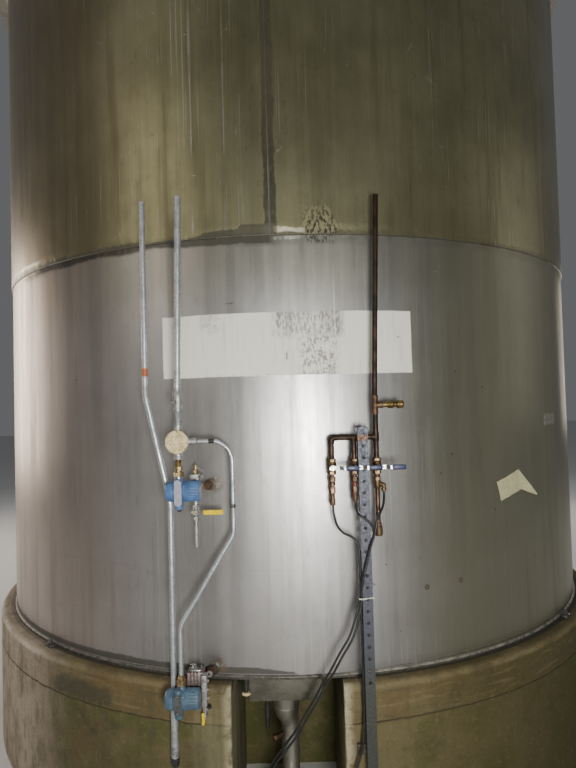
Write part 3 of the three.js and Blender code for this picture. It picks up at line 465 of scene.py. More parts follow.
def concrete_finish(name, top_lift):
    finish = Finish(name, 0.0, 0.92)
    x, y, z = finish.axes()
    angle = finish.around()[0]
    patchy = finish.noise(5.5, 7.0, 0.7)
    grain = finish.noise(190.0, 4.0, 0.65)
    runs = finish.noise(9.0, 6.0, 0.65, 0.1)
    pale = finish.noise(13.0, 7.0, 0.75)
    finish.base(finish.noise(1.5, 6.0, 0.62).span(0.35, 0.65), (0.1, 0.08, 0.03), (0.158, 0.13, 0.06))
    if top_lift:
        finish.stain(finish.noise(2.6, 5.0, 0.6).span(0.42, 0.62, 0.0, 0.7), (0.15, 0.095, 0.03))
    else:
        finish.stain(finish.noise(3.4, 6.0, 0.7).span(0.42, 0.6, 0.0, 0.9), (0.075, 0.088, 0.017))
    finish.stain(patchy.span(0.5, 0.7, 0.0, 0.8), (0.05, 0.04, 0.02))
    finish.stain(runs.span(0.5, 0.68, 0.0, 0.6), (0.075, 0.062, 0.03))
    finish.stain(pale.span(0.56, 0.7, 0.0, 0.4), (0.26, 0.22, 0.12))
    # Painted shade: the right side of the concrete darker and yellower.
    finish.stain(side_light_tints(angle)[0] * 0.6, (0.066, 0.054, 0.01))
    # Painted light: pale pinkish patches at the far left, where the left window's light falls.
    far_left = angle.span(-31.0, -47.0) * angle.span(-150.0, -110.0)
    lit_patch_noise = finish.noise(9.0, 8.0, 0.75, 0.45)
    finish.stain(far_left * lit_patch_noise.span(0.38, 0.58, 0.3, 0.98), (0.48, 0.405, 0.315))
    if top_lift:
        top_lift_stains(finish, angle, z, far_left, lit_patch_noise, patchy, pale)
    # A dark line along the lift joint, partly painted shade of the joint's step.
    joint = z + finish.noise(14.0, 5.0, 0.6).span(0.2, 0.8, -0.006, 0.006)
    finish.stain(joint.band(0.557, 0.566, 0.003) * 0.75, (0.06, 0.045, 0.02))

    # Paler worn edges beside the slot, and a rendered patch at its left.
    left, right = SLOT_LEFT * MM, SLOT_RIGHT * MM
    beside = (x - left).math("ABSOLUTE").math("MINIMUM", (x - right).math("ABSOLUTE"))
    rub = beside.span(0.008, 0.05, 1.0, 0.0) * y.span(-1.87, -1.89) * pale.span(0.36, 0.56)
    finish.stain(rub * 0.95, (0.50, 0.45, 0.29))
    rendered = (x + patchy.span(0.2, 0.8, -0.03, 0.03)).band(-0.43, left + 0.05, 0.012) * y.span(-1.5, -1.6)
    rendered = rendered * (z + pale.span(0.2, 0.8, -0.02, 0.02)).span(0.69, 0.675)
    rendered = rendered * runs.span(0.62, 0.4, 0.3, 1.0)
    finish.stain(rendered * 0.6, (0.25, 0.22, 0.125) if top_lift else (0.19, 0.185, 0.105))
    gravel = finish.noise(52.0, 8.0, 0.8)
    finish.stain(gravel.span(0.54, 0.66, 0.0, 0.4), (0.055, 0.046, 0.026))
    finish.stain(gravel.span(0.36, 0.46, 0.28, 0.0), (0.27, 0.235, 0.14))
    finish.stain(grain.span(0.3, 0.75, 0.0, 0.35), (0.07, 0.06, 0.03))
    pits = finish.cells(70.0).span(0.05, 0.16)
    return finish.done(patchy * 2.2 + pits * 0.5 + grain * 0.5 + gravel * 1.2, 2.6)


def zinc_finish():
    finish = Finish("zinc_coat", 0.75)
    dull = finish.noise(16.0, 5.0, 0.6)
    specks = finish.noise(120.0, 5.0, 0.75)
    finish.base(finish.cells(95.0).span(0.1, 0.7), (0.40, 0.43, 0.45), (0.53, 0.565, 0.58))
    finish.stain(dull.span(0.45, 0.7, 0.0, 0.6), (0.25, 0.265, 0.265))
    finish.stain(specks.span(0.62, 0.72, 0.0, 0.6), (0.12, 0.105, 0.08))
    return finish.done(specks, 0.25, {"Roughness": dull.span(0.3, 0.7, 0.34, 0.58)})


def worn_metal(name, light, dark, spot, roughness, metallic, scale=55.0, depth=0.25):
    finish = Finish(name, metallic)
    cloud = finish.noise(scale, 5.0, 0.65)
    speck = finish.noise(scale * 5, 4.0, 0.7)
    finish.base(cloud.span(0.36, 0.64), dark, light)
    finish.stain(speck.span(0.55, 0.72, 0.0, 0.75), spot)
    return finish.done(speck, depth, {"Roughness": cloud.span(0.3, 0.7, roughness + 0.14, roughness - 0.06)})


def enamel(name, light, dark, bare, wear):
    finish = Finish(name)
    cloud = finish.noise(28.0, 5.0, 0.6)
    chips = finish.noise(130.0, 5.0, 0.75).span(wear, wear + 0.05)
    finish.base(cloud.span(0.35, 0.65), dark, light)
    finish.stain(chips, bare)
    return finish.done(finish.noise(420.0, 2.0, 0.5) - chips, 0.2, {
        "Roughness": cloud.span(0.3, 0.7, 0.5, 0.36), "Coat Weight": 0.15})


def post_finish():
    """Dull zinc, bluish above and greener towards the foot."""
    finish = Finish("dull_zinc_post", 0.6)
    cloud = finish.noise(90.0, 5.0, 0.65).span(0.36, 0.64)
    upper = finish.mix(cloud, (0.066, 0.071, 0.087), (0.073, 0.079, 0.096))
    lower = finish.mix(cloud, (0.058, 0.064, 0.055), (0.072, 0.079, 0.068))
    finish.base(finish.axes()[2].span(0.62, 1.0), lower, upper)
    return finish.done(finish.noise(450.0, 4.0, 0.7), 0.25, {"Roughness": cloud.span(0.0, 1.0, 0.64, 0.46)})


def cover_finish():
    """Cream paint with dark worn lines."""
    finish = Finish("cream_cover", 0.0, 0.55)
    cloud = finish.noise(60.0, 5.0, 0.65)
    lines = (finish.noise(38.0, 2.0, 0.5) - 0.5).math("ABSOLUTE").span(0.007, 0.022, 1.0, 0.0)
    finish.base(cloud.span(0.35, 0.65), (0.50, 0.375, 0.17), (0.72, 0.60, 0.35))
    finish.stain(lines * finish.noise(50.0, 2.0).span(0.47, 0.55) * 0.9, (0.07, 0.055, 0.03))
    return finish.done(cloud, 0.3)


def plastic(name, light, dark, roughness, grain=300.0, extra=None):
    finish = Finish(name)
    cloud = finish.noise(40.0, 4.0, 0.6)
    finish.base(cloud.span(0.3, 0.7), dark, light)
    return finish.done(finish.noise(grain, 2.0, 0.5), 0.12, {
        "Roughness": cloud.span(0.3, 0.7, roughness - 0.05, roughness + 0.08), **(extra or {})})


STEEL_LOWER = lower_shell_finish()
STEEL_UPPER = upper_shell_finish()
STEEL_PLAIN = plain_steel(
    "weathered_plate_plain", (0.40, 0.39, 0.35), (0.29, 0.28, 0.245), (0.2, 0.19, 0.15))
STEEL_PIPE = plain_steel("stained_pipe", (0.31, 0.3, 0.25), (0.18, 0.172, 0.135), (0.09, 0.085, 0.06))
STEEL_SUMP = plain_steel("stained_sump", (0.23, 0.22, 0.19), (0.16, 0.15, 0.12), (0.085, 0.078, 0.052))
WELD = weld_finish()
FOOT_WELD = foot_weld_finish()
CONCRETE_LOW = concrete_finish("stained_concrete_lower", False)
CONCRETE_TOP = concrete_finish("stained_concrete_top", True)
ZINC = zinc_finish()
POST_ZINC = post_finish()
CREAM = cover_finish()

# Worn metals: name, light, dark and spot colour, roughness, metallic share, and for some the clouds' scale
# and the bump's depth.
CLIP = worn_metal("dirty_clip", (0.17, 0.165, 0.15), (0.08, 0.077, 0.066), (0.03, 0.028, 0.022), 0.45, 0.6)
# The floor plate's edge, nearly black: dirt, and painted shade under the tank.
FLOOR_EDGE = worn_metal(
    "stained_and_shaded_floor_plate", (0.10, 0.095, 0.075), (0.05, 0.047, 0.035), (0.02, 0.019, 0.014), 0.6, 0.4)
SUMP = worn_metal(
    "stained_sump_plate", (0.115, 0.11, 0.083), (0.07, 0.067, 0.048), (0.035, 0.033, 0.021),
    0.6, 0.35, 12.0, 0.4)
BRACKET = worn_metal(
    "stained_bracket", (0.095, 0.083, 0.052), (0.055, 0.048, 0.03), (0.03, 0.026, 0.016), 0.6, 0.3)
CAST = worn_metal(
    "cast_alloy", (0.44, 0.445, 0.43), (0.25, 0.25, 0.235), (0.09, 0.085, 0.07), 0.48, 0.75, 45.0, 0.5)
CAST_RED = worn_metal(
    "reddish_cast_alloy", (0.33, 0.26, 0.245), (0.18, 0.135, 0.125), (0.06, 0.045, 0.04),
    0.45, 0.7, 45.0, 0.5)
CHROME = worn_metal(
    "bright_fitting", (0.56, 0.56, 0.545), (0.36, 0.36, 0.34), (0.15, 0.135, 0.105), 0.27, 0.9)
BRASS = worn_metal("tarnished_brass", (0.42, 0.325, 0.16), (0.2, 0.145, 0.07), (0.06, 0.04, 0.02), 0.4, 0.85)
OLD_BRASS = worn_metal(
    "dark_brass", (0.19, 0.125, 0.06), (0.06, 0.04, 0.022), (0.035, 0.025, 0.018), 0.42, 0.8, 38.0)
OLIVE_BRASS = worn_metal(
    "olive_brass", (0.2, 0.14, 0.042), (0.075, 0.052, 0.02), (0.03, 0.022, 0.012), 0.42, 0.8, 38.0)
BRONZE = worn_metal(
    "rusty_bronze", (0.17, 0.1, 0.056), (0.065, 0.038, 0.024), (0.025, 0.018, 0.013), 0.5, 0.7, 38.0)
DARK_COPPER = worn_metal(
    "dark_copper", (0.062, 0.036, 0.024), (0.022, 0.015, 0.011), (0.011, 0.008, 0.007), 0.46, 0.75, 20.0)
PINK_COPPER = worn_metal(
    "pink_copper", (0.2, 0.11, 0.072), (0.08, 0.044, 0.03), (0.035, 0.022, 0.016), 0.42, 0.85)
NAMEPLATE = worn_metal(
    "dull_nameplate", (0.34, 0.335, 0.385), (0.25, 0.25, 0.295), (0.11, 0.11, 0.13), 0.4, 0.5)
DARK_PLATE = worn_metal(
    "dark_nameplate", (0.11, 0.115, 0.115), (0.06, 0.065, 0.065), (0.03, 0.03, 0.03), 0.45, 0.4)
LABEL = worn_metal("blank_plate", (0.33, 0.32, 0.27), (0.2, 0.19, 0.155), (0.09, 0.085, 0.065), 0.45, 0.3)
WIRE = worn_metal("tie_wire", (0.22, 0.14, 0.08), (0.12, 0.075, 0.045), (0.05, 0.03, 0.02), 0.5, 0.7)

BLUE = enamel("blue_enamel", (0.075, 0.17, 0.36), (0.045, 0.105, 0.24), (0.16, 0.18, 0.19), 0.61)
DULL_BLUE = enamel("dull_blue_enamel", (0.075, 0.14, 0.195), (0.045, 0.09, 0.13), (0.13, 0.14, 0.13), 0.58)
YELLOW = plastic("yellow_vinyl", (0.80, 0.575, 0.0), (0.62, 0.44, 0.0), 0.6,
                 extra={"Specular IOR Level": 0.2})
DARK_BLUE = plastic("dark_blue_vinyl", (0.013, 0.02, 0.085), (0.008, 0.011, 0.042), 0.42)
BLACK = plastic("black_plastic", (0.03, 0.03, 0.029), (0.012, 0.012, 0.012), 0.42)
HOSE = plastic("black_hose", (0.02, 0.02, 0.019), (0.01, 0.01, 0.01), 0.46)
WHITE = plastic("white_nylon", (0.74, 0.71, 0.62), (0.62, 0.59, 0.49), 0.42)
RED = plastic("red_ring", (0.17, 0.03, 0.022), (0.09, 0.018, 0.014), 0.42)
CLEAR = plastic("clear_vinyl", (0.74, 0.74, 0.68), (0.60, 0.61, 0.55), 0.25,
                extra={"Transmission Weight": 0.45})
ORANGE = plastic("orange_tape", (0.5, 0.14, 0.045), (0.32, 0.085, 0.03), 0.5)
TAPE = plastic("pale_tape", (0.62, 0.60, 0.35), (0.50, 0.48, 0.27), 0.55, 60.0)


# Shapes.

def square_axes(along):
    """Two unit vectors square to a direction and to each other."""
    along = Vector(along).normalized()
    helper = TOP if abs(along.z) < 0.9 else Vector((0, 1, 0))
    side = helper.cross(along).normalized()
    return side, along.cross(side)


def skin(loops, closed=False):
    """Faces between loops of equal count, with flat ends unless the loops close on themselves."""
    count = len(loops[0])
    faces = []
    for i in range(len(loops) if closed else len(loops) - 1):
        low, high = i * count, ((i + 1) % len(loops)) * count
        for j in range(count):
            k = (j + 1) % count
            faces.append((low + j, low + k, high + k, high + j))
    if not closed:
        faces.append(tuple(reversed(range(count))))
        faces.append(tuple(range((len(loops) - 1) * count, len(loops) * count)))
    return [point for loop in loops for point in loop], faces


def directions(route):
    """The direction of a route at each of its points."""
    ends = zip(route[:1] + route[:-1], route[1:] + route[-1:])
    return [(after - before).normalized() for before, after in ends]


def round_corners(corners, bend, steps=8):
    points = [Vector(corner) for corner in corners]
    route = [points[0]]
    for before, corner, after in zip(points, points[1:], points[2:]):
        into, out = (corner - before).normalized(), (after - corner).normalized()
        angle = into.angle(out)
        setback = bend * math.tan(angle / 2)
        axis = into.cross(out).normalized()
        inward = axis.cross(into)
        centre = corner - into * setback + inward * bend
        for step in range(steps + 1):
            route.append(centre + Matrix.Rotation(angle * step / steps, 3, axis) @ (inward * -bend))
    route.append(points[-1])
    return route


def smooth_route(points, steps):
    """Points at even spacing on a centripetal curve through the given ones."""
    points = [Vector(point) for point in points]
    padded = [points[0] * 2 - points[1], *points, points[-1] * 2 - points[-2]]
    dense = []
    for p0, p1, p2, p3 in zip(padded, padded[1:], padded[2:], padded[3:]):
        t1 = math.sqrt((p1 - p0).length)
        t2 = t1 + math.sqrt((p2 - p1).length)
        t3 = t2 + math.sqrt((p3 - p2).length)
        for step in range(10):
            t = t1 + (t2 - t1) * step / 10
            a1 = p0.lerp(p1, t / t1)
            a2 = p1.lerp(p2, (t - t1) / (t2 - t1))
            a3 = p2.lerp(p3, (t - t2) / (t3 - t2))
            dense.append(a1.lerp(a2, t / t2).lerp(a2.lerp(a3, (t - t1) / (t3 - t1)), (t - t1) / (t2 - t1)))
    dense.append(points[-1])
    reach = [0.0]
    for first, second in zip(dense, dense[1:]):
        reach.append(reach[-1] + (second - first).length)
    route, i = [], 0
    for step in range(steps + 1):
        target = reach[-1] * step / steps
        while i < len(reach) - 2 and reach[i + 1] < target:
            i += 1
        route.append(dense[i].lerp(dense[i + 1], (target - reach[i]) / (reach[i + 1] - reach[i])))
    return route


def on_shell(degrees, z, radius=SHELL_RADIUS):
    angle = math.radians(degrees)
    return Vector((math.sin(angle) * radius, -math.cos(angle) * radius, z))


def ring(sides, z, reach):
    """Points round the tank at a height. Reach gives the radius at each number of degrees."""
    turns = [360 * i / sides for i in range(sides)]
    return [on_shell(degrees, z, reach(degrees)) for degrees in turns]


def rough(point, size):
    """Fractal noise at a point, with features of about the given size."""
    return noise.fractal(point / size, 1.0, 2.0, 4, noise_basis="PERLIN_ORIGINAL")


def smooth(made, sharp):
    """Outward faces, smooth shading, and hard edges past an angle."""
    mesh = bmesh.new()
    mesh.from_mesh(made.data)
    bmesh.ops.recalc_face_normals(mesh, faces=mesh.faces)
    mesh.to_mesh(made.data)
    mesh.free()
    made.data.polygons.foreach_set("use_smooth", [True] * len(made.data.polygons))
    made.data.set_sharp_from_angle(angle=math.radians(sharp))


def show(name, data):
    made = bpy.data.objects.new(name, data)
    bpy.context.scene.collection.objects.link(made)
    return made


class Piece:
    """Closed shells gathered into one object, in its usual material where none is given."""

    def __init__(self, name, usual):
        self.name, self.usual = name, usual
        self.points, self.faces, self.marks, self.finishes = [], [], [], []

    def shell(self, made, finish=None):
        points, faces = made
        finish = finish or self.usual
        if finish not in self.finishes:
            self.finishes.append(finish)
        start = len(self.points)
        self.points.extend(points)
        self.faces.extend(tuple(start + i for i in face) for face in faces)
        self.marks.extend([self.finishes.index(finish)] * len(faces))

    def turned(self, start, along, profile, finish=None, sides=32, closed=False, wave=None):
        """A profile of (distance, radius), turned round the axis that leaves start along a direction."""
        start, along = Vector(start), Vector(along).normalized()
        side, up = square_axes(along)
        loops = []
        for distance, radius in profile:
            loop = []
            for i in range(sides):
                turn = 2 * math.pi * i / sides
                reach = radius + (wave(i, distance) if wave else 0)
                arm = side * math.cos(turn) + up * math.sin(turn)
                loop.append(start + along * distance + arm * reach)
            loops.append(loop)
        self.shell(skin(loops, closed), finish)

    def rod(self, start, end, radius, finish=None, sides=28, chamfer=0.8):
        along = Vector(end) - Vector(start)
        length = along.length
        cut = min(chamfer, length / 3, radius / 2)
        profile = [(0, radius - cut), (cut, radius), (length - cut, radius), (length, radius - cut)]
        self.turned(start, along, profile, finish, sides)

    def nut(self, start, end, radius, finish=None, sides=6):
        along = Vector(end) - Vector(start)
        length, edge = along.length, radius * 0.88
        cut = min(1.6, length / 3)
        profile = [(0, edge), (cut, radius), (length - cut, radius), (length, edge)]
        self.turned(start, along, profile, finish, sides)

    def thread(self, start, end, radius, finish=None, pitch=2.0, depth=0.9):
        along = Vector(end) - Vector(start)
        steps = max(2, round(along.length / pitch)) * 2
        profile = [(along.length * i / steps, radius - (i % 2 == 0) * depth) for i in range(steps + 1)]
        self.turned(start, along, profile, finish, 24)

    def stack(self, base, along, *parts):
        """Parts on one line: each is a kind, its two ends as distances from the base, and the rest."""
        for kind, start, end, *rest in parts:
            getattr(self, kind)(Vector(base) + along * start, Vector(base) + along * end, *rest)

    def tube(self, route, radius, finish=None, sides=16):
        """A round tube along a route. Its radius may be a list with a value for each point."""
        route = [Vector(point) for point in route]
        radii = radius if isinstance(radius, list) else [radius] * len(route)
        turns = [2 * math.pi * j / sides for j in range(sides)]
        side = None
        loops = []
        for point, along, reach in zip(route, directions(route), radii):
            side = side or square_axes(along)[0]
            side = (side - along * side.dot(along)).normalized()
            up = along.cross(side)
            loops.append([point + (side * math.cos(turn) + up * math.sin(turn)) * reach for turn in turns])
        self.shell(skin(loops), finish)

    def bead(self, route, radius, swell, size):
        """A weld along a route, swelling and thinning over a length of about the given size."""
        self.tube(route, [radius + swell * rough(point, size) for point in route], WELD, 8)

    def box(self, low, high, finish=None, bevel=1.2, turn=None):
        mesh = bmesh.new()
        bmesh.ops.create_cube(mesh, size=1.0)
        for vertex in mesh.verts:
            vertex.co = [low[i] + (high[i] - low[i]) * (vertex.co[i] + 0.5) for i in range(3)]
        bmesh.ops.bevel(mesh, geom=list(mesh.edges), offset=bevel, segments=2, profile=0.5, affect="EDGES")
        if turn:
            bmesh.ops.transform(mesh, matrix=turn, verts=mesh.verts)
        mesh.verts.index_update()
        faces = [tuple(vertex.index for vertex in face.verts) for face in mesh.faces]
        self.shell(([vertex.co.copy() for vertex in mesh.verts], faces), finish)
        mesh.free()

    def slab(self, outline, start, depth, finish):
        """A flat outline in the XZ plane with rounded edges, thickened by depth towards the front."""
        middle, level = [sum(values) / len(outline) for values in zip(*outline)]
        ease = min(0.6, depth / 4)
        loops = []
        for height, inset in ((0, ease), (ease, 0), (depth - ease, 0), (depth, ease)):
            loop = []
            for a, b in outline:
                share = 1 - inset / (math.hypot(a - middle, b - level) or 1)
                across, up = middle + (a - middle) * share, level + (b - level) * share
                loop.append(Vector(start) + RIGHT * across + TOP * up + FRONT * height)
            loops.append(loop)
        self.shell(skin(loops), finish)

    def bolt(self, place, out, radius, finish=None, washer=True):
        place, out = Vector(place), Vector(out).normalized()
        if washer:
            self.rod(place, place + out * 1.6, radius * 1.25, finish, 20, 0.4)
        self.nut(place + out * 1.5, place + out * (1.5 + radius * 0.75), radius, finish)

    def solid(self, sharp=32):
        mesh = bpy.data.meshes.new(self.name)
        mesh.from_pydata([point * MM for point in self.points], [], self.faces)
        for finish in self.finishes:
            mesh.materials.append(finish)
        mesh.polygons.foreach_set("material_index", self.marks)
        made = show(self.name, mesh)
        smooth(made, sharp)
        return made

    def place(self, slot, node=None, body="tank", sharp=32):
        made = self.solid(sharp)
        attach(made, body)
        if node:
            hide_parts(node)
        return made


def carve(made, piece, sharp=32):
    """Cuts a piece out of an object."""
    cutter = piece.solid()
    cutter.data.materials.clear()
    modifier = made.modifiers.new("cut", "BOOLEAN")
    modifier.operation, modifier.object, modifier.solver = "DIFFERENCE", cutter, "EXACT"
    bpy.context.view_layer.update()
    result = bpy.data.meshes.new_from_object(made.evaluated_get(bpy.context.evaluated_depsgraph_get()))
    made.modifiers.clear()
    made.data = result
    bpy.data.objects.remove(cutter)
    smooth(made, sharp)


# Camera, floor and light.

def make_camera():
    data = bpy.data.cameras.new("camera")
    data.sensor_fit, data.sensor_height, data.lens = "VERTICAL", 36.0, CAMERA_LENS
    camera = show("camera", data)
    level = Vector((math.cos(CAMERA_YAW), -math.sin(CAMERA_YAW), 0))
    ahead = Vector((math.sin(CAMERA_YAW), math.cos(CAMERA_YAW), 0))
    forward = ahead * math.cos(CAMERA_PITCH) + TOP * math.sin(CAMERA_PITCH)
    upright = level.cross(forward)
    right = level * math.cos(CAMERA_ROLL) + upright * math.sin(CAMERA_ROLL)
    up = upright * math.cos(CAMERA_ROLL) - level * math.sin(CAMERA_ROLL)
    turn = Matrix((right, up, -forward)).transposed().to_4x4()
    camera.matrix_world = Matrix.Translation(CAMERA_PLACE) @ turn
    bpy.context.scene.camera = camera


def make_floor():
    mesh = bpy.data.meshes.new("floor")
    corners = [(-40, -40, 0), (40, -40, 0), (40, 40, 0), (-40, 40, 0)]
    mesh.from_pydata(corners, [], [(0, 1, 2, 3)])
    finish = Finish("pale_floor", 0.0, 0.7)
    finish.base(finish.noise(0.8, 3.0), (0.66, 0.65, 0.63), (0.70, 0.69, 0.67))
    mesh.materials.append(finish.done())
    show("floor", mesh)


def area_light(name, place, target, size, power, colour=(1, 1, 1), spread=180):
    data = bpy.data.lights.new(name, "AREA")
    data.shape, data.size, data.size_y = "RECTANGLE", *size
    data.energy, data.color, data.spread = power, colour, math.radians(spread)
    light = show(name, data)
    light.location = place
    light.rotation_mode = "QUATERNION"
    light.rotation_quaternion = (Vector(target) - Vector(place)).to_track_quat("-Z", "Y")


def make_light():
    world = bpy.data.worlds.new("studio")
    bpy.context.scene.world = world
    world.use_nodes = True
    background = world.node_tree.nodes["Background"]
    background.inputs["Color"].default_value = (0.82, 0.84, 0.88, 1)
    background.inputs["Strength"].default_value = 0.15
    area_light("key", (0.42, -5.2, 1.55), (-0.1, -1.8, 1.5), (0.6, 0.6), 38, (1, 0.985, 0.95), 95)
    area_light("left_window", (-7.5, 3.0, 2.6), (0, 0, 1.8), (3, 3.5), 250, (1, 0.85, 0.72))
    area_light("right_window", (6.2, 5.6, 2.6), (0, 0, 2.2), (0.7, 2.6), 50, (1, 0.88, 0.76))
    area_light("left_fill", (-6.0, -6.5, 4.5), (0, 0, 1.5), (4, 4), 70, (1, 0.9, 0.8))
    area_light("right_fill", (8.0, -1.0, 3.5), (0, 0, 2.0), (4, 4), 18, (1, 0.97, 0.82))
    area_light("overhead", (0, 0, 10), (0, 0, 4), (7, 7), 300)
    area_light("back_fill", (0, 9, 4.5), (0, 0, 2.0), (4, 4), 220)


# Plinth.

def plinth_lift(name, node, bottom, top, arris, finish):
    """A round concrete lift with an uneven cast face, drawn in by up to a few millimetres."""
    foot_ease, arris_steps = 3, 8
    flat = top - arris - bottom
    step_count = max(3, round(flat / 26))
    rows = [(bottom, PLINTH_RADIUS - foot_ease)]
    for i in range(step_count + 1):
        rows.append((bottom + foot_ease + (flat - foot_ease) * i / step_count, PLINTH_RADIUS))
    for i in range(1, arris_steps + 1):
        turn = math.pi / 2 * i / arris_steps
        rows.append((top - arris * (1 - math.sin(turn)), PLINTH_RADIUS - arris * (1 - math.cos(turn))))

    def unevenness(degrees, height):
        point = on_shell(degrees, height, PLINTH_RADIUS)
        return min(0.0, -2.4 + 1.6 * rough(point, 420) + 1.5 * rough(point + TOP * 900, 60))

    piece = Piece(name, finish)
    piece.shell(skin([ring(360, z, lambda degrees: radius + unevenness(degrees, z)) for z, radius in rows]))
    carve(piece.place("concrete", node), slot_cutter(bottom, top), 40)


def slot_cutter(bottom, top):
    """The slot, flared at the front where its edges are worn and chipped."""
    piece = Piece("slot_cutter", CONCRETE_LOW)
    loops = []
    for level in (bottom - 20, *[bottom + (top - bottom) * i / 24 for i in range(25)], top + 20):
        walls = []
        for x, outward, seed in ((SLOT_LEFT, -1, 400), (SLOT_RIGHT, 1, 800)):
            chip = max(2.0, 8 + 11 * rough(Vector((seed, 0, level)), 55))
            front = -math.sqrt(PLINTH_RADIUS ** 2 - x ** 2)
            walls.append([Vector((x + outward * chip * aside, y, level)) for aside, y in (
                (0, SLOT_BACK), (0, front + chip), (0.3, front + chip * 0.3), (1.5, front - chip),
                (1.5, front - 90))])
        loops.append(walls[0] + walls[1][::-1])
    piece.shell(skin(loops))
    return piece


# Tank shell.

def shell_course(name, node, inner, outer, bottom, top, finish):
    """A course whose outside is slightly wavy, but not at its ends."""
    rows, even_end = 40, 60

    def reach(degrees, z):
        ends = max(0.0, min(1.0, (z - bottom) / even_end, (top - z) / even_end))
        wave = 1.1 * rough(on_shell(degrees, z * 0.6), 620)
        return outer + wave * ends

    heights = [bottom + (top - bottom) * i / rows for i in range(rows + 1)]
    loops = [ring(ROUND_SIDES, z, lambda degrees: reach(degrees, z)) for z in heights]
    loops += [ring(ROUND_SIDES, z, lambda degrees: inner) for z in (top, bottom)]
    piece = Piece(name, finish)
    piece.shell(skin(loops, closed=True))
    piece.place("stainless", node, sharp=50)


def ring_bead(piece, z, out, up, finish):
    """A fillet weld round the tank: out is its width and up its height, which may be negative."""
    stations = 1440
    section = ((0, 0), (1, 0), (0.86, 0.36), (0.55, 0.68), (0.25, 0.9), (0, 1))
    loops = []
    for i in range(stations):
        degrees = 360 * i / stations
        swell = 1 + 0.2 * rough(on_shell(degrees, z), 26)
        loop = []
        for a, b in section:
            loop.append(on_shell(degrees, z + up * b * swell, SHELL_RADIUS + out * a * swell))
        loops.append(loop)
    piece.shell(skin(loops, closed=True), finish)


def line_bead(piece, degrees, bottom, top, radius, finish, width=9.0, height=0.9):
    """A vertical butt weld, dressed nearly flush."""
    loops = []
    count = int((top - bottom) / 9)
    for i in range(count + 1):
        z = bottom + (top - bottom) * i / count
        swell = 1 + 0.3 * rough(Vector((degrees * 50, 0, z)), 30)
        loop = []
        for across, out in ((-0.5, -0.5), (-0.3, 0.7), (0, 1), (0.3, 0.7), (0.5, -0.5)):
            turn = degrees + math.degrees(across * width * swell / radius)
            loop.append(on_shell(turn, z, radius + out * height * swell))
        loops.append(loop)
    piece.shell(skin(loops), finish)


def make_welds():
    piece = Piece("shell_welds", STEEL_SUMP)
    ring_bead(piece, LOWER_EDGE, 8.0, 8.0, FOOT_WELD)
    ring_bead(piece, SEAM_HEIGHT, 6.4, -5.0, STEEL_SUMP)
    for degrees in (SEAM_ANGLE, SEAM_ANGLE + 180):
        line_bead(piece, degrees, SEAM_HEIGHT, SHELL_TOP - 52, UPPER_RADIUS, STEEL_SUMP)
    for degrees in (96, -84):
        line_bead(piece, degrees, LOWER_EDGE + 6, SEAM_HEIGHT - 6, SHELL_RADIUS, STEEL_PLAIN)
    piece.place("stainless", sharp=50)


# Roof.

def roof_height(radius):
    return ROOF_LOWEST + ROOF_PLATE + ROOF_RISE * (1 - radius / ROOF_EDGE)


def make_roof():
    inner = UPPER_RADIUS + 0.3
    foot, upper_face = SHELL_TOP - 50, SHELL_TOP + 6
    curb = Piece("curb_ring", STEEL_PLAIN)
    curb.turned((0, 0, 0), TOP, [
        (foot, inner), (foot, inner + 6), (SHELL_TOP - 2, inner + 6), (SHELL_TOP, inner + 8),
        (SHELL_TOP, inner + 50), (upper_face, inner + 50), (upper_face, inner),
    ], sides=ROUND_SIDES, closed=True)
    curb.place("stainless", "curb_angle")

    hole, seam_start, seam_steps = 58, 110, 60
    roof = Piece("roof_plates", STEEL_PLAIN)
    over = [(roof_height(r), r) for r in [hole + (ROOF_EDGE - hole) * i / 14 for i in range(15)]]
    under = [(height - ROOF_PLATE, r) for height, r in over]
    roof.turned((0, 0, 0), TOP, under + over[::-1], sides=ROUND_SIDES, closed=True)
    for i in range(8):
        out = on_shell(11 + 45 * i, 0, 1)
        if abs(out.x) < 0.25 and out.y > 0:
            continue
        radii = [seam_start + (ROOF_EDGE - 10 - seam_start) * k / seam_steps for k in range(seam_steps + 1)]
        roof.bead([out * r + TOP * (roof_height(r) - 0.6) for r in radii], 3.2, 0.9, 24)
    roof.place("stainless", "roof_cone", sharp=40)


def make_manway():
    x, y = MANWAY
    plate = roof_height(y)
    foot, top = plate - 60, plate - ROOF_PLATE - 0.3 + 150
    inside = MANWAY_RADIUS - PLATE
    neck = Piece("manway_neck_fine", STEEL_PLAIN)
    neck.turned((x, y, 0), TOP, [
        (foot, inside), (foot, MANWAY_RADIUS), (top - 14, MANWAY_RADIUS), (top - 12, MANWAY_RADIUS + 2),
        (top - 12, COVER_RADIUS - 1), (top - 11, COVER_RADIUS), (top - 1, COVER_RADIUS),
        (top, COVER_RADIUS - 1), (top, inside),
    ], sides=96, closed=True)
    weld = [(-14, MANWAY_RADIUS), (2, MANWAY_RADIUS + 9), (12, MANWAY_RADIUS)]
    neck.turned((x, y, plate), TOP, weld, WELD, 96)
    neck.place("stainless", "manway_neck")

    cover = Piece("manway_cover_fine", STEEL_PLAIN)
    cover.turned((x, y, top), TOP, [
        (0.3, COVER_RADIUS - 1), (1.3, COVER_RADIUS), (12.7, COVER_RADIUS), (13.7, COVER_RADIUS - 1),
        (13.7, 98), (15, 94), (25, 90), (26, 89),
    ], sides=96)
    for i in range(COVER_BOLTS):
        angle = 2 * math.pi * (i + 0.5) / COVER_BOLTS
        place = Vector((x + math.cos(angle) * BOLT_CIRCLE, y + math.sin(angle) * BOLT_CIRCLE, top + 13.7))
        cover.bolt(place, TOP, 14, ZINC)
        cover.nut(place - TOP * 39, place - TOP * 26.5, 14, ZINC)
    cover.place("stainless", "manway_cover")


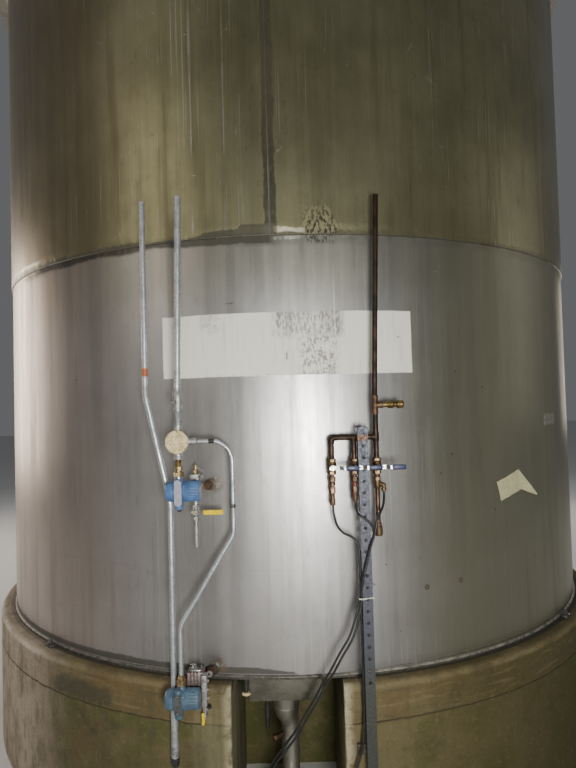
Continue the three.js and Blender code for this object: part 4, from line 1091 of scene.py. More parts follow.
def make_vent():
    foot, top = roof_height(0) - ROOF_PLATE - 40.3, roof_height(0) - ROOF_PLATE + 149.7
    vent = Piece("roof_vent_fine", STEEL_PLAIN)
    vent.turned((0, 0, 0), TOP, [
        (foot, 54), (foot, 57), (top - 12, 57), (top - 10, 60), (top - 10, 94), (top - 9, 95),
        (top - 1, 95), (top, 94), (top, 54),
    ], sides=64, closed=True)
    drill = Piece("vent_drill", STEEL_PLAIN)
    for i in range(4):
        angle = math.pi / 2 * (i + 0.5)
        drill.stack((math.cos(angle) * 76, math.sin(angle) * 76, top), TOP, ("rod", -30, 20, 9, None, 20))
    carve(vent.place("stainless", "roof_vent"), drill)


# Outlet in the slot.

def make_sump():
    sump = Piece("sump_box", SUMP)
    sump.box(SUMP_LOW, (*SUMP_HIGH[:2], SUMP_HIGH[2] - 0.5), bevel=7)
    left, front, right, back = *SUMP_LOW[:2], *SUMP_HIGH[:2]
    for start, end in (((left, front), (right, front)), ((left, front), (left, back)),
                       ((right, front), (right, back))):
        first, last = Vector((*start, 717)), Vector((*end, 717))
        sump.bead([first.lerp(last, i / 40) for i in range(41)], 3.4, 0.8, 20)
    sump.place("stainless", "outlet_sump")


def make_reducer():
    route, radii = [], []
    for i in range(25):
        height = 611 - 151 * i / 24
        share = min(1.0, max(0.0, (545 - height) / 85))
        share = share * share * (3 - 2 * share)
        route.append((NECK_X + (PIPE_X - NECK_X) * share, OUTLET_Y, height))
        radii.append(NECK_RADIUS + (PIPE_RADIUS - NECK_RADIUS) * share)
    neck = Piece("reducer_fine", STEEL_PIPE)
    neck.tube(route, radii, sides=56)
    neck.turned((NECK_X, OUTLET_Y, 612), -TOP, [(0, 57), (1, 64), (6, 60), (9, 57)], WELD, 56)
    for x, z, radius in ((NECK_X, 548, 57), (PIPE_X, 462, 38)):
        weld = [(0, radius), (2, radius + 1.6), (5, radius + 1.6), (7, radius)]
        neck.turned((x, OUTLET_Y, z), -TOP, weld, WELD, 56)
    neck.place("stainless", "outlet_reducer")

    gland = Piece("sensor_gland", BLACK)
    gland.stack((*GLAND, 0), TOP, ("rod", 611, 520, 10))
    for i in range(7):
        gland.stack((*GLAND, -8 * i), TOP, ("rod", 522, 516, 11.5 - 0.7 * i, None, 24, 1.8))
    gland.place("black_hose")


def make_outlet_valve():
    axis = (PIPE_X, OUTLET_Y, 0)
    pipe = Piece("outlet_pipe_fine", STEEL_PIPE)
    pipe.turned(axis, TOP, [
        (240, PIPE_BORE), (240, 44.7), (240.8, FERRULE_RADIUS), (244, FERRULE_RADIUS), (248, 39.5),
        (252, PIPE_RADIUS), (460, PIPE_RADIUS), (460, PIPE_BORE),
    ], sides=56, closed=True)
    pipe.rod((-60, -1705, 430), (-84, -1718, 424), 10, BRONZE)
    pipe.rod((-78, -1715, 425.5), (-102, -1727, 419.5), 13, BRONZE)
    pipe.nut((-96, -1724, 421), (-110, -1731, 417.5), 17, BRONZE)
    pipe.place("stainless", "outlet_pipe")

    valve = Piece("outlet_valve_fine", CHROME)
    valve.turned(axis, TOP, [
        (178, PIPE_BORE), (178, 44.7), (178.8, FERRULE_RADIUS), (182, FERRULE_RADIUS), (186, 42.5),
        (190, 42), (228, 42), (232, 42.5), (236, FERRULE_RADIUS), (238.9, FERRULE_RADIUS), (239.7, 44.7),
        (239.7, PIPE_BORE),
    ], sides=56, closed=True)
    valve.turned((PIPE_X, OUTLET_Y, 206.5), TOP, [(0, 36.3), (5, 36.3)], sides=56)
    valve.stack((PIPE_X, OUTLET_Y, ACTUATOR_Z), FRONT, ("rod", 38, 60, 14))
    for z in (232, 176):
        clamp = [(0, 46), (0, 49), (3, 53), (13, 53), (16, 49), (16, 46)]
        valve.turned((PIPE_X, OUTLET_Y, z), TOP, clamp, sides=56)
    valve.stack((PIPE_X + 60, OUTLET_Y, 240), FRONT, ("rod", 10, -26, 5))
    valve.place("stainless", "outlet_valve")


def make_actuator():
    back = OUTLET_Y - 60.3
    length = back - ACTUATOR_FRONT
    barrel = Piece("actuator_fine", BRASS)
    barrel.turned((PIPE_X, back, ACTUATOR_Z), FRONT, [
        (0, 43), (2, 46), (4, 47), (8, 47), (10, 45), (11, 44), (length - 11, 44), (length - 10, 45),
        (length - 8, 47), (length - 4, 47), (length - 1.5, 45.5), (length, 42), (length, 20),
        (length - 3, 18),
    ], CHROME, 56)
    for y in AIR_PORTS_Y:
        barrel.stack((0, y, ACTUATOR_Z), RIGHT, ("rod", PIPE_X - 30, -112, 8), ("nut", -84, -94, 11))
        barrel.stack((AIR_PORT_X, y, 0), TOP, ("rod", ACTUATOR_Z - 8, 235, 7.5), ("rod", 226, 234, 9, BLACK))
    barrel.stack((0, FRONT_PORT_Y, ACTUATOR_Z), RIGHT, ("rod", PIPE_X + 30, 30, 7.5), ("nut", 10, 20, 11))
    for i in range(4):
        angle = math.radians(45 + 90 * i)
        place = (PIPE_X + 35 * math.cos(angle), ACTUATOR_FRONT, ACTUATOR_Z + 35 * math.sin(angle))
        barrel.stack(place, FRONT, ("rod", -1, -0.1, 4.5, BLACK, 12, 0.3))
    barrel.place("stainless", "outlet_actuator")

    probe = Piece("probe_fine", CREAM)
    probe.stack((*PROBE, 0), TOP, ("rod", 720, 660, 8.5, BLACK))
    knob = [(0, 9), (1, 16), (3, 19), (6, 19.5), (9, 18), (11, 14), (12, 9)]
    probe.turned((*PROBE, 664), -TOP, knob, sides=36,
                 wave=lambda i, distance: 1.3 * math.sin(i * 2.3 + distance))
    probe.place("cream_paint", "bottom_probe")


# Conduits and the junction box.

def make_long_conduit():
    long = Piece("long_conduit_fine", ZINC)
    long.tube(round_corners([
        (LONG_TOP_X, LONG_Y, CONDUIT_TOP), (LONG_TOP_X, LONG_Y, 1925), (LONG_X + 2, LONG_Y, 1478),
        (LONG_X, LONG_Y, 640),
    ], 150, 12), LONG_RADIUS, sides=24)
    long.stack((LONG_TOP_X, LONG_Y, 0), TOP, ("rod", 2041, 2007, 12.6, ORANGE, 28, 0.3))
    long.place("galvanised", "long_conduit")

    foot = Piece("long_conduit_foot_fine", ZINC)
    foot.stack((LONG_X, LONG_Y, 0), TOP, ("rod", 639.7, 478, 14.8), ("rod", 486, 446, 17, CAST, 28, 1.5),
               ("rod", 447, 434, 15))
    for z in (476, 456):
        foot.bolt((LONG_X, LONG_Y - 16.4, z), FRONT, 4, washer=False)
    foot.turned((LONG_X, LONG_Y, 440), -TOP, [(0, 15), (1, 17.5), (20, 17.5), (30, 16.5), (36, 12)], BLACK)
    foot.place("galvanised", "long_conduit_foot")


def make_sealing_fitting():
    x, y = BOX_X + 2, STATION_Y
    drop = Piece("drop_conduit_fine", ZINC)
    drop.tube([(x + 18, y, CONDUIT_TOP), (x, y, 1955.5)], DROP_RADIUS, sides=28)
    drop.place("galvanised", "drop_conduit")

    seal = Piece("sealing_fitting_fine", CAST)
    seal.turned((x, y, 1954.7), -TOP, [
        (0, 16.5), (1, 18), (16, 18), (22, 20.5), (30, 21.5), (66, 21.5), (76, 20), (84, 18), (97, 18),
        (98, 16.5),
    ])
    seal.rod((x, y, 1906), (x - 17, y - 26, 1893), 11)
    seal.nut((x - 15, y - 23, 1894.5), (x - 20, y - 30, 1891), 9, sides=4)
    seal.stack((x, y, 0), TOP, ("thread", 1858, BOX_Z + 82, 13.3, ZINC))
    seal.place("cast_metal", "sealing_fitting")

    box = Piece("junction_box_fine", CAST)
    bowl = [(0, 36), (3, 41), (8, 43.5), (38, 44), (42, 46), (46, 46)]
    box.turned((BOX_X, y + 26, BOX_Z), FRONT, bowl, sides=48)
    for place, out, reach, radius in (((x, y, BOX_Z + 40), TOP, 41.7, 17.5),
                                      ((BOX_X, y, BOX_Z - 38), -TOP, 34, 17.5),
                                      ((BOX_X + 38, y, BOX_Z), RIGHT, 40, 15)):
        box.turned(place, out, [
            (-8, radius + 4), (2, radius), (reach - 13, radius), (reach - 11, radius + 1.5),
            (reach - 1, radius + 1.5), (reach, radius),
        ])
    box.place("cast_metal", "junction_box")

    cover = Piece("junction_cover_fine", CREAM)
    profile = [(0, 45.5), (1, 47), (8, 47), (10.5, 45), (11.7, 41), (11.2, 38), (11.4, 10)]
    cover.turned((BOX_X, y - 20.3, BOX_Z), FRONT, profile, sides=48,
                 wave=lambda i, distance: 0.5 * (i % 2) if distance < 9 else 0)
    for side in (-1, 1):
        cover.stack((BOX_X + side * 26, y, BOX_Z + side * 20), FRONT, ("rod", 31, 31.8, 4, None, 14, 0.3))
    cover.place("cream_paint", "junction_box_cover")


def make_unions():
    upper_foot, lower_foot = UPPER_PLACE[2] + 52, LOWER_PLACE[2] + 52
    union = Piece("transmitter_union_fine", BRASS)
    union.stack((BOX_X, STATION_Y, upper_foot), TOP, ("thread", BOX_Z - 72.3 - upper_foot, 44, 12),
                ("nut", 50, 32, 17.5, None, 8), ("rod", 34, 24, 13), ("nut", 27, 8, 21),
                ("rod", 9, 0, 16, CHROME))
    union.place("brass", "transmitter_union")

    top = lower_foot + 44
    branch = Piece("branch_conduit_fine", BLACK)
    branch.tube(round_corners([
        (BOX_X + 78.3, STATION_Y, BOX_Z), (BRANCH_X, STATION_Y, BOX_Z), (BRANCH_X, STATION_Y, 1355),
        (LOWER_PORT_X, STATION_Y, 990), (LOWER_PORT_X, STATION_Y, top),
    ], 85, 12), BRANCH_RADIUS, ZINC, 24)
    branch.stack((0, STATION_Y, BOX_Z), RIGHT, ("rod", BOX_X + 78.3, BOX_X + 98.3, 11, CAST),
                 ("rod", -336, -312, 9.8, None, 28, 0.3))
    branch.stack((BRANCH_X, STATION_Y, 0), TOP, ("rod", 1476, 1462, 10.2, None, 28, 0.5))
    branch.box((BRANCH_X - 10, STATION_Y - 15, 1464), (BRANCH_X - 2, STATION_Y - 8, 1475), bevel=1)
    branch.place("galvanised", "branch_conduit")

    joint = Piece("branch_connector_fine", BRASS)
    joint.stack((LOWER_PORT_X, STATION_Y, top), TOP, ("rod", -0.3, -20, 12.5), ("nut", -8, -18, 15.5),
                ("nut", -20, -40, 20), ("rod", -39, -44, 16, CHROME))
    joint.place("brass", "branch_connector")


# Transmitters and their valves.

def oval(width, height, steps=10):
    points = []
    for i in range(steps * 2):
        angle = math.pi * (i + 0.5) / steps
        stretch = math.copysign((height - width) / 2, math.sin(angle))
        points.append((width / 2 * math.cos(angle), width / 2 * math.sin(angle) + stretch))
    return points


def make_transmitter(node, centre, port_x, paint, plate, plate_height, plate_drop):
    x, y, z = centre
    left, split = x - 71, x - 33
    waist = split + 17
    piece = Piece(f"{node}_fine", paint)
    piece.turned((left, y, z), RIGHT, [
        (0, 26), (1.5, 32), (5, 36.5), (10, 39.3), (18, 41), (30, 41.8), (34, 41.5), (36, 40), (38, 37),
    ], sides=56)
    piece.turned((split - 2, y, z), RIGHT, [(0, 36), (1, 37), (35, 37), (37, 36)], sides=56)
    piece.turned((split + 33, y, z), RIGHT, [
        (0, 37), (2, 40.5), (5, 42), (28, 42), (29, 41), (31, 41), (32, 41.6), (62, 41.6), (66, 40),
        (69, 37), (70, 32),
    ], sides=112, wave=lambda i, distance: -1.5 * (i // 2 % 2) if 31.5 < distance < 63 else 0)
    piece.rod((x + 68, y, z), (x + 71, y, z), 22, CAST, 32)
    piece.turned((port_x, y, z + 30), TOP, [(0, 20), (8, 17.5), (20, 17), (21.7, 16)])
    piece.turned((waist, y - 8, z - 30), -TOP, [(0, 21), (6, 19), (24, 17.5), (40, 17), (42, 15)])
    piece.rod((waist, y - 8, z - 70), (waist, y - 8, z - 81), 8, BLACK, 20, 2)
    spine = [(0, 12), (3, 16.5), (8, 18), (92, 18), (98, 16.5), (102, 12)]
    piece.turned((waist, y - 19, z + 47), -TOP, spine)
    front = y - 35.5
    piece.slab(oval(30, plate_height), (waist, front + 0.5, z + plate_drop), 3.0, plate)
    for side in (-1, 1):
        rivet = (waist, front, z + plate_drop + side * (plate_height / 2 - 9))
        piece.stack(rivet, FRONT, ("rod", 2.2, 3.4, 2.4, CHROME, 12, 0.4))
    piece.bolt((split + 40, y - 36, z + 22), (0, -1, 0.55), 3.2, CHROME, False)
    piece.place("blue_paint", node)


def handle(piece, place, out, across, finish=CHROME, reach=16):
    """A small valve stem with a tee bar."""
    out, across = Vector(out).normalized(), Vector(across).normalized()
    piece.stack(place, out, ("nut", 0, 7, 8, finish), ("rod", 6, reach + 4, 3, finish, 14))
    piece.stack(Vector(place) + out * (reach + 1), across, ("rod", -13, 13, 2.2, finish, 12))


def make_blocks():
    y, z = BLOCK_BACK, UPPER_PLACE[2]
    upper = Piece("upper_block_fine", CAST)
    upper.box((-430, y, z - 32), (-384, y + 62, z + 22), bevel=4)
    upper.box((-426, y + 6, z + 20), (-388, y + 54, z + 62), bevel=5)
    upper.stack((-402, y + 24, z), TOP, ("rod", 60, 98, 8, BRASS), ("nut", 66, 80, 12, BRASS))
    for dy in (10, 50):
        for dz in (-24, 14):
            upper.bolt((-384.2, y + dy, z + dz), RIGHT, 6, CHROME)
    handle(upper, (-392, y + 6, z + 38), FRONT, TOP, CHROME, 14)
    handle(upper, (-388, y + 30, z + 50), RIGHT, (0, 1, 1), CHROME, 12)
    upper.place("cast_metal", "upper_valve_block")

    z = LOWER_PLACE[2]
    lower = Piece("lower_block_fine", CAST_RED)
    for x in range(-452, -382, 14):
        lower.box((x, y, 722), (x + 11, y + 62, z + 84), bevel=2.5)
    lower.box((-450, y + 3, 724), (-386, y + 58, z + 80), bevel=3)
    lower.box((-440, y + 6, z + 82), (-396, y + 54, z + 92), CHROME, 2)
    lower.box((-390, -1930, 660), (-368, y + 10, z + 82), CAST, 3)
    for dy, dz in ((0, -14), (4, 20), (8, 52)):
        lower.bolt((-368.2, -1915 + dy, z + dz), RIGHT, 5.5, CHROME)
    for dz in (60, 10):
        lower.bolt((-379, -1930, z + dz), FRONT, 6, CHROME)
    handle(lower, (-430, y + 28, z + 91), TOP, RIGHT, CHROME, 14)
    handle(lower, (-405, y + 28, z + 91), TOP, (0.6, 0.8, 0), BLACK, 12)
    lower.place("cast_metal", "lower_valve_block")


def make_root_valve(name, node, degrees, z, round_face):
    out = on_shell(degrees, 0, 1)
    foot = out * SHELL_RADIUS + TOP * z
    link = foot + out * 44
    piece = Piece(name, BRONZE)
    piece.turned(foot + out * 0.3, out, [(0, 26), (4, 25.5), (7.5, 21), (8, 16)], STEEL_SUMP)
    piece.stack(foot, out, ("rod", 7, 34, 14), ("nut", 14, 28, 18.5))
    piece.turned(foot + out * 32, out, [(0, 14), (2, 18), (12, 19), (20, 18), (25, 15), (28, 14)], sides=28)
    piece.rod(link, (-383.7, link.y, z), 9, BRONZE if round_face else CHROME)
    piece.nut((-376, link.y, z), (-364, link.y, z), 14, BRASS if round_face else CHROME)
    if round_face:
        piece.stack(foot, out, ("rod", 58, 66, 13, CAST, 28, 1.5), ("rod", 65, 67, 5, BLACK, 16))
    else:
        handle(piece, foot + out * 58, out, (0.3, 0, 1), BRONZE, 5)
    piece.place("brass", node)


def make_drain_and_sample():
    x, y = DRAIN
    drain = Piece("lower_drain_fine", CHROME)
    drain.stack((x, y, 0), TOP, ("nut", 659.7, 646, 12.5), ("rod", 648, 618, 9.5), ("nut", 626, 614, 12),
                ("rod", 615, 604, 6.5))
    drain.rod((x, y, 640), (x + 16, y, 650), 7.5)
    drain.rod((x + 12, y - 2, 648), (x + 24, y - 4, 655.5), 8.5, BLACK, 20, 2)
    drain.box((x - 12, y - 13, 584), (x - 1, y - 12, 632), YELLOW, 0.2)
    drain.place("cast_metal", "lower_drain_fitting")

    stem = (SAMPLE_X, SAMPLE_Y, SAMPLE_STEM)
    foot = UPPER_PLACE[2] - 32.3 - SAMPLE_STEM
    valve = Piece("sample_valve_fine", CHROME)
    valve.stack(stem, TOP, ("rod", foot, 24, 8), ("nut", foot - 6, foot - 18, 11.5), ("nut", 27, 12, 15.5))
    body = [(0, 12), (3, 13.5), (30, 13.5), (34, 12.5), (36, 9)]
    valve.turned((SAMPLE_X, SAMPLE_Y, SAMPLE_STEM + 14), -TOP, body)
    valve.stack(stem, TOP, ("nut", -22, -40, 14.5), ("rod", -38, -62, 7))
    valve.stack(stem, TOP, *[("rod", z, z - 4, 7.6, None, 20, 1) for z in (-44, -49, -54, -59)])
    valve.stack(stem, FRONT, ("rod", 10, 34, 8), ("nut", 14, 24, 11))
    valve.place("cast_metal", "sample_valve")

    tube = Piece("sample_tube_fine", CLEAR)
    profile = [(0, 3.2), (0, 4.5), (88, 4.5), (88.7, 4.0), (88.7, 3.2)]
    tube.turned((SAMPLE_X, SAMPLE_Y, SAMPLE_STEM - 62.3), -TOP, profile, sides=24, closed=True)
    tube.place("cream_paint", "sample_tube")


# Levers.

def make_lever(node, stem, length, sleeve_start, offset, sleeve_width, sleeve, slot):
    """A strip on its stem, stepped forward to the grip, with a vinyl sleeve, a nut and a hole."""
    x, back, z = stem
    strip, half = 3, 8
    front, grip = back - strip, back - offset
    middle = grip - strip / 2
    piece = Piece(f"{node}_fine", CHROME)
    loops = []
    for along, y, width in ((-13, back - 1.5, half - 3), (24, back - 1.5, half), (28, back - 2.4, half),
                            (42, grip - 0.6, half - 0.5), (46, middle, half - 0.5),
                            (length - 5, middle, half - 0.5)):
        corners = ((strip, -width), (-strip, -width), (-strip, width), (strip, width))
        loops.append([Vector((x + along, y + thick / 2, z + up)) for thick, up in corners])
    piece.shell(skin(loops))
    low = (x + sleeve_start, middle - 4.9, z - sleeve_width / 2)
    high = (x + length, middle + 4.9, z + sleeve_width / 2)
    piece.box(low, high, sleeve, 3.6)
    for i in range(3):
        ridge = x + length - 12 - 9 * i
        piece.box((ridge, low[1] - 0.05, low[2] + 4), (ridge + 2.5, low[1] + 1, high[2] - 4), sleeve, 0.4)
    piece.stack((x, front, z), FRONT, ("rod", 0, 0.8, 10, None, 24, 0.3), ("nut", 0.6, 5.2, 8.5, BRASS),
                ("rod", 4.6, 5.5, 4, None, 14, 0.4))
    piece.stack((x + 17, front, z), FRONT, ("rod", -0.2, 0.25, 3.2, BLACK, 18, 0.1))
    piece.place(slot, node, node)


# Post.

def post_outline():
    """The open channel with its turned-in lips: round the outside, then back round the inside."""
    wall, lip, mouth = 2.6, 7, 10

    def loop(inset):
        left, right = POST_LEFT + inset, POST_RIGHT - inset
        front, back, lip_end = POST_FRONT + inset, POST_BACK - inset, POST_BACK - lip
        left_lip, right_lip = POST_LEFT + mouth - inset, POST_RIGHT - mouth + inset
        return [(left_lip, lip_end), (left_lip, back), (left, back), (left, front), (right, front),
                (right, back), (right_lip, back), (right_lip, lip_end)]

    return loop(0) + loop(wall)[::-1]


def make_post():
    piece = Piece("punched_post", POST_ZINC)
    piece.shell(skin([[Vector((x, y, z)) for x, y in post_outline()] for z in (0, POST_TOP)]))
    drill = Piece("post_drill", POST_ZINC)
    z = TOP_HOLE
    while z > LOWEST_HOLE:
        place = ((POST_LEFT + POST_RIGHT) / 2, POST_FRONT, z)
        drill.stack(place, FRONT, ("rod", 5, -8, HOLE_RADIUS, None, 24))
        z -= HOLE_PITCH
    carve(piece.place("galvanised", "strut_post"), drill)

    trims = Piece("post_trims", PINK_COPPER)
    left, front = POST_LEFT - 0.8, POST_FRONT - 0.8
    for x1, x2, y1, y2 in ((left, left, front, POST_BACK + 4), (left, POST_RIGHT - 4, front, front)):
        trims.box((x1 - 0.5, y1 - 0.5, HEADER_Z - 11), (x2 + 0.5, y2 + 0.5, HEADER_Z + 11), bevel=0.3)
    trims.bolt((290, POST_FRONT - 1.3, HEADER_Z), FRONT, 5, DARK_COPPER)
    trims.place("copper")

    ties = Piece("wire_ties", WIRE)
    right, back = POST_RIGHT + 1.2, POST_BACK + 1.2
    for z, reach, clear in ((1146, 2, 1.2), (598, 12, 1.4)):
        left, front = POST_LEFT - reach, POST_FRONT - clear
        corners = [(290, back), (left, back), (left, front), (right, front), (right, back), (288, back)]
        ties.tube(round_corners([(x, y, z) for x, y in corners], 2.5, 4), 0.9, sides=8)
        end = [(right, front + 4, z), (right + 6, front - 3, z - 3), (right + 11, front - 8, z + 2)]
        ties.tube(smooth_route(end, 8), 0.9, sides=8)
    ties.place("copper")

    for node in ("post_bracket_lower", "post_bracket_upper"):
        low, high = (Vector(corner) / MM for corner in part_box(node))
        bracket = Piece(f"{node}_fine", BRACKET)
        bracket.box(low, (high.x, low.y + 6, high.z), bevel=0.8)
        bracket.box((low.x, low.y + 5, low.z), (low.x + 22, high.y, high.z), bevel=0.8)
        bracket.bolt((low.x + 34, low.y, (low.z + high.z) / 2), FRONT, 8)
        bracket.place("galvanised", node)


# Air manifold.

def cup(piece, place, along, length=20):
    """A soldered socket with its rim."""
    piece.turned(Vector(place) - along * length / 2, along, [
        (0, 11.4), (0.8, 13), (3, 13.2), (4, 12.7), (length - 4, 12.7), (length - 3, 13.2),
        (length - 0.8, 13), (length, 11.4),
    ], sides=28)


def make_copper():
    y, z, foot = HEADER_Y, HEADER_Z, STEM_Z + 32
    left, middle, right = VALVES.values()
    header = Piece("copper_header_fine", DARK_COPPER)
    header.tube(round_corners([(left, y, foot), (left, y, z), (right, y, z)], 15), COPPER, sides=24)
    header.tube(round_corners([(left, y, z - 24), (left, y, z), (left + 24, y, z)], 15), 12.6, sides=24)
    for x in (middle, right):
        header.tube([(x, y, z), (x, y, foot)], COPPER, sides=24)
        cup(header, (x, y, z - 15), TOP, 12)
    header.tube([(right, y, z), (right, y, TEE_Z - 40)], COPPER, sides=24)
    cup(header, (middle, y, z), RIGHT, 34)
    cup(header, (right - 12, y, z), RIGHT)
    cup(header, (right, y, z + 4), TOP, 30)
    header.place("copper", "copper_header")

    drop = Piece("copper_drop_fine", BRONZE)
    drop.tube([(right, y, TEE_Z - 39.7), (right, y, TEE_Z + 50)], COPPER, DARK_COPPER, 24)
    drop.tube([(right, y, TEE_Z + 48), (right + COPPER_LEAN, y, CONDUIT_TOP)], COPPER, DARK_COPPER, 24)
    drop.turned((right, y, TEE_Z - 38), TOP, [
        (0, 12), (1, 14), (8, 14), (11, 13), (30, 13.5), (48, 13.5), (64, 13), (70, 14), (77, 14), (78, 12),
    ], sides=28)
    drop.turned((right, y, TEE_Z), RIGHT, [(0, 13), (18, 13), (22, 14), (33, 14), (34, 12)], sides=28)
    drop.place("copper", "copper_drop")

    coupler = Piece("quick_coupler_fine", OLIVE_BRASS)
    coupler.turned((right + 34.3, y, TEE_Z), RIGHT, [
        (0, 10), (0, 11), (17, 11), (18, 15), (20, 16), (24, 16), (25, 14.8), (27, 14.8), (28, 16),
        (40, 16), (42, 14), (43, 11.5), (54, 11.5), (56, 15), (58, 16.5), (62, 16.5), (63, 15.5),
        (65, 16.5), (69, 16.5), (70, 15.5), (72, 16.5), (78, 16.5), (82, 15), (84.7, 11),
    ])
    coupler.place("brass", "quick_coupler")

    clamp = Piece("header_clamp_fine", ZINC)
    band = [(0, 11.4), (0, 13.6), (0.6, 14.2), (21.4, 14.2), (22, 13.6), (22, 11.4)]
    clamp.turned((284, y, z), RIGHT, band, closed=True)
    clamp.box((284, POST_BACK + 0.3, z - 8), (306, y - 10, z + 8), bevel=1)
    clamp.place("galvanised", "header_clamp")


def make_air_valve(side, x):
    valve = Piece(f"air_valve_{side}_fine", OLD_BRASS)
    stem = (x, HEADER_Y, STEM_Z)
    valve.stack(stem, TOP, ("nut", 31.7, 19, 18.2))
    body = [(0, 14), (3, 17), (8, 18.4), (30, 18.4), (37, 17), (42, 14)]
    valve.turned((x, HEADER_Y, STEM_Z + 21), -TOP, body)
    valve.stack(stem, TOP, ("nut", -19, -34, 17.6))
    valve.stack(stem, FRONT, ("rod", 10, 26, 12), ("nut", 25, 36, 12.5),
                ("rod", 35, HEADER_Y - LEVER_BACK - 0.3, 7.5, CHROME))
    valve.place("brass", f"air_valve_{side}")


def make_air_fitting(side, x):
    y, foot = HEADER_Y, FITTING_FEET[side]
    start = STEM_Z - 34.3
    top, end = (x, y, start), foot - start
    if side == "right":
        elbow = x + 26
        piece = Piece(f"air_fitting_{side}_fine", OLD_BRASS)
        piece.stack(top, TOP, ("rod", 0, -6, 13, RED, 24, 1), ("rod", -6, -10, 12), ("nut", -10, -26, 14))
        cup_profile = [(0, 9.5), (2, 13), (6, 13.5), (30, 13.5), (34, 12), (40, 9.5)]
        piece.turned((x, y, start - 24), -TOP, cup_profile)
        piece.rod((x, y, 1542), (elbow, y, 1532), 10)
        port = [(0, 4), (2, 8), (8, 9.5), (20, 9), (24, 10.5), (31, 10.5), (32, 8)]
        piece.turned((elbow, y, 1540), -TOP, port)
        piece.rod((x, y, 1522), (x, y, foot + 3), 9.3, PINK_COPPER)
        silencer = [(0, 10), (2, 13), (14, 14), (17, 16), (44, 16.5), (52, 15.5), (54, 13)]
        piece.turned((x, y, foot + 2), -TOP, silencer, BRONZE, 28)
    else:
        accent, low = (PINK_COPPER, PINK_COPPER) if side == "left" else (RED, BRONZE)
        piece = Piece(f"air_fitting_{side}_fine", accent)
        piece.stack(top, TOP, ("rod", 0, end + 2, 9.2), ("nut", -8, -28, 14, OLD_BRASS),
                    ("rod", -30, -44, 12.4, None, 28, 1.5), ("nut", -48, -76, 13, low))
        tip = [(0, 9), (2, 11), (12, 11.5), (22, 11), (28, 10), (30, 7)]
        piece.turned((x, y, foot + 30), -TOP, tip, BRONZE)
    piece.place("brass", f"air_fitting_{side}")


# Hoses. The routes are those of the solids.

def make_hoses():
    y = HEADER_Y
    left, middle, right = VALVES.values()
    first_port, second_port = AIR_PORTS_Y
    routes = {
        "left": [
            (left, y, 1451.2), (168, y, 1432), (173, -1907, 1404), (182, -1918, 1372),
            (203, -1933, 1346), (238, -1945, 1330), (262, -1948.5, 1298), (266, -1950, 1253),
            (266, -1950, 1177), (266, -1950, 1086), (266, -1950, 960), (266, -1950, 820),
            (266, -1950, 700), (265, -1950, 598), (256, -1952, 506), (229, -1955, 417),
            (190, -1952, 330), (140, -1935, 262), (90, -1905, 222), (58, -1876, 210),
            (46, FRONT_PORT_Y, 209), (30.8, FRONT_PORT_Y, 209),
        ],
        "middle": [
            (middle, y, 1465.2), (260, y - 0.4, 1457), (260.3, -1913, 1446), (262, -1945, 1432),
            (266.5, -1977.5, 1424), (292, -1982, 1407), (314, -1981, 1384), (323, -1978, 1357),
            (314, -1974.5, 1320), (301, -1973, 1283), (288, -1973, 1236), (275, -1973.5, 1186),
            (264, -1972, 1130), (261.8, -1961.5, 1088), (246, -1966, 1033), (213, -1973, 943),
            (173, -1976, 880), (133, -1974, 810), (99, -1968, 756), (69, -1960, 698), (30, -1948, 632),
            (-10, -1930, 558), (-64, -1903, 476), (-110, -1868, 395), (-115, -1825, 320),
            (AIR_PORT_X, -1784, 266), (AIR_PORT_X, first_port, 235.8),
        ],
        "right": [
            (right + 26, y, 1507.2), (379, -1907, 1492), (376, -1920, 1474), (368, -1945, 1455),
            (354, -1970, 1435), (338, -1985, 1405), (326, -1991, 1357), (314, -1989, 1320),
            (302, -1987, 1283), (290, -1986, 1236), (277, -1985, 1186), (267, -1981.5, 1130),
            (264.8, -1974.5, 1088), (256, -1976, 1027), (223, -1984, 936), (183, -1987, 873),
            (143, -1985, 803), (109, -1979, 750), (79, -1971, 691), (40, -1959, 625), (0, -1943, 552),
            (-54, -1918, 470), (-104, -1890, 392), (-110, -1872, 320), (AIR_PORT_X, -1858, 266),
            (AIR_PORT_X, second_port, 235.8),
        ],
    }
    for side, points in routes.items():
        piece = Piece(f"air_hose_{side}_fine", HOSE)
        piece.tube(smooth_route(points, 220), HOSE_RADIUS, sides=14)
        piece.place("black_hose", f"air_hose_{side}")


def make_tie():
    tie = Piece("hose_tie_fine", WHITE)
    corners = [(313, -1966.4), (313, -1924.4), (271, -1924.4), (260.8, -1944.2), (256.3, -1960),
               (257.8, -1978.6), (267.5, -1981.8), (290, -1974.2)]
    route = round_corners([(x, y, TIE_Z) for x, y in corners], 1.6, 4)
    loops = []
    for point, along in zip(route, directions(route)):
        out = point + along.cross(TOP) * 1.2
        loops.append([point - TOP * 2.2, out - TOP * 2.2, out + TOP * 2.2, point + TOP * 2.2])
    tie.shell(skin(loops))
    tie.tube([(313.4, -1967, TIE_Z), (290, -1974.5, TIE_Z), (267, -1982.4, TIE_Z)], 1.6, sides=8)
    tie.box((252, -1968, TIE_Z - 4), (258, -1960, TIE_Z + 4), BLACK, 1)
    tie.box((311, -1972, TIE_Z - 4), (317, -1966, TIE_Z + 4), bevel=1)
    tie.place("white_nylon", "hose_tie")


# Small things on the plinth and the shell.

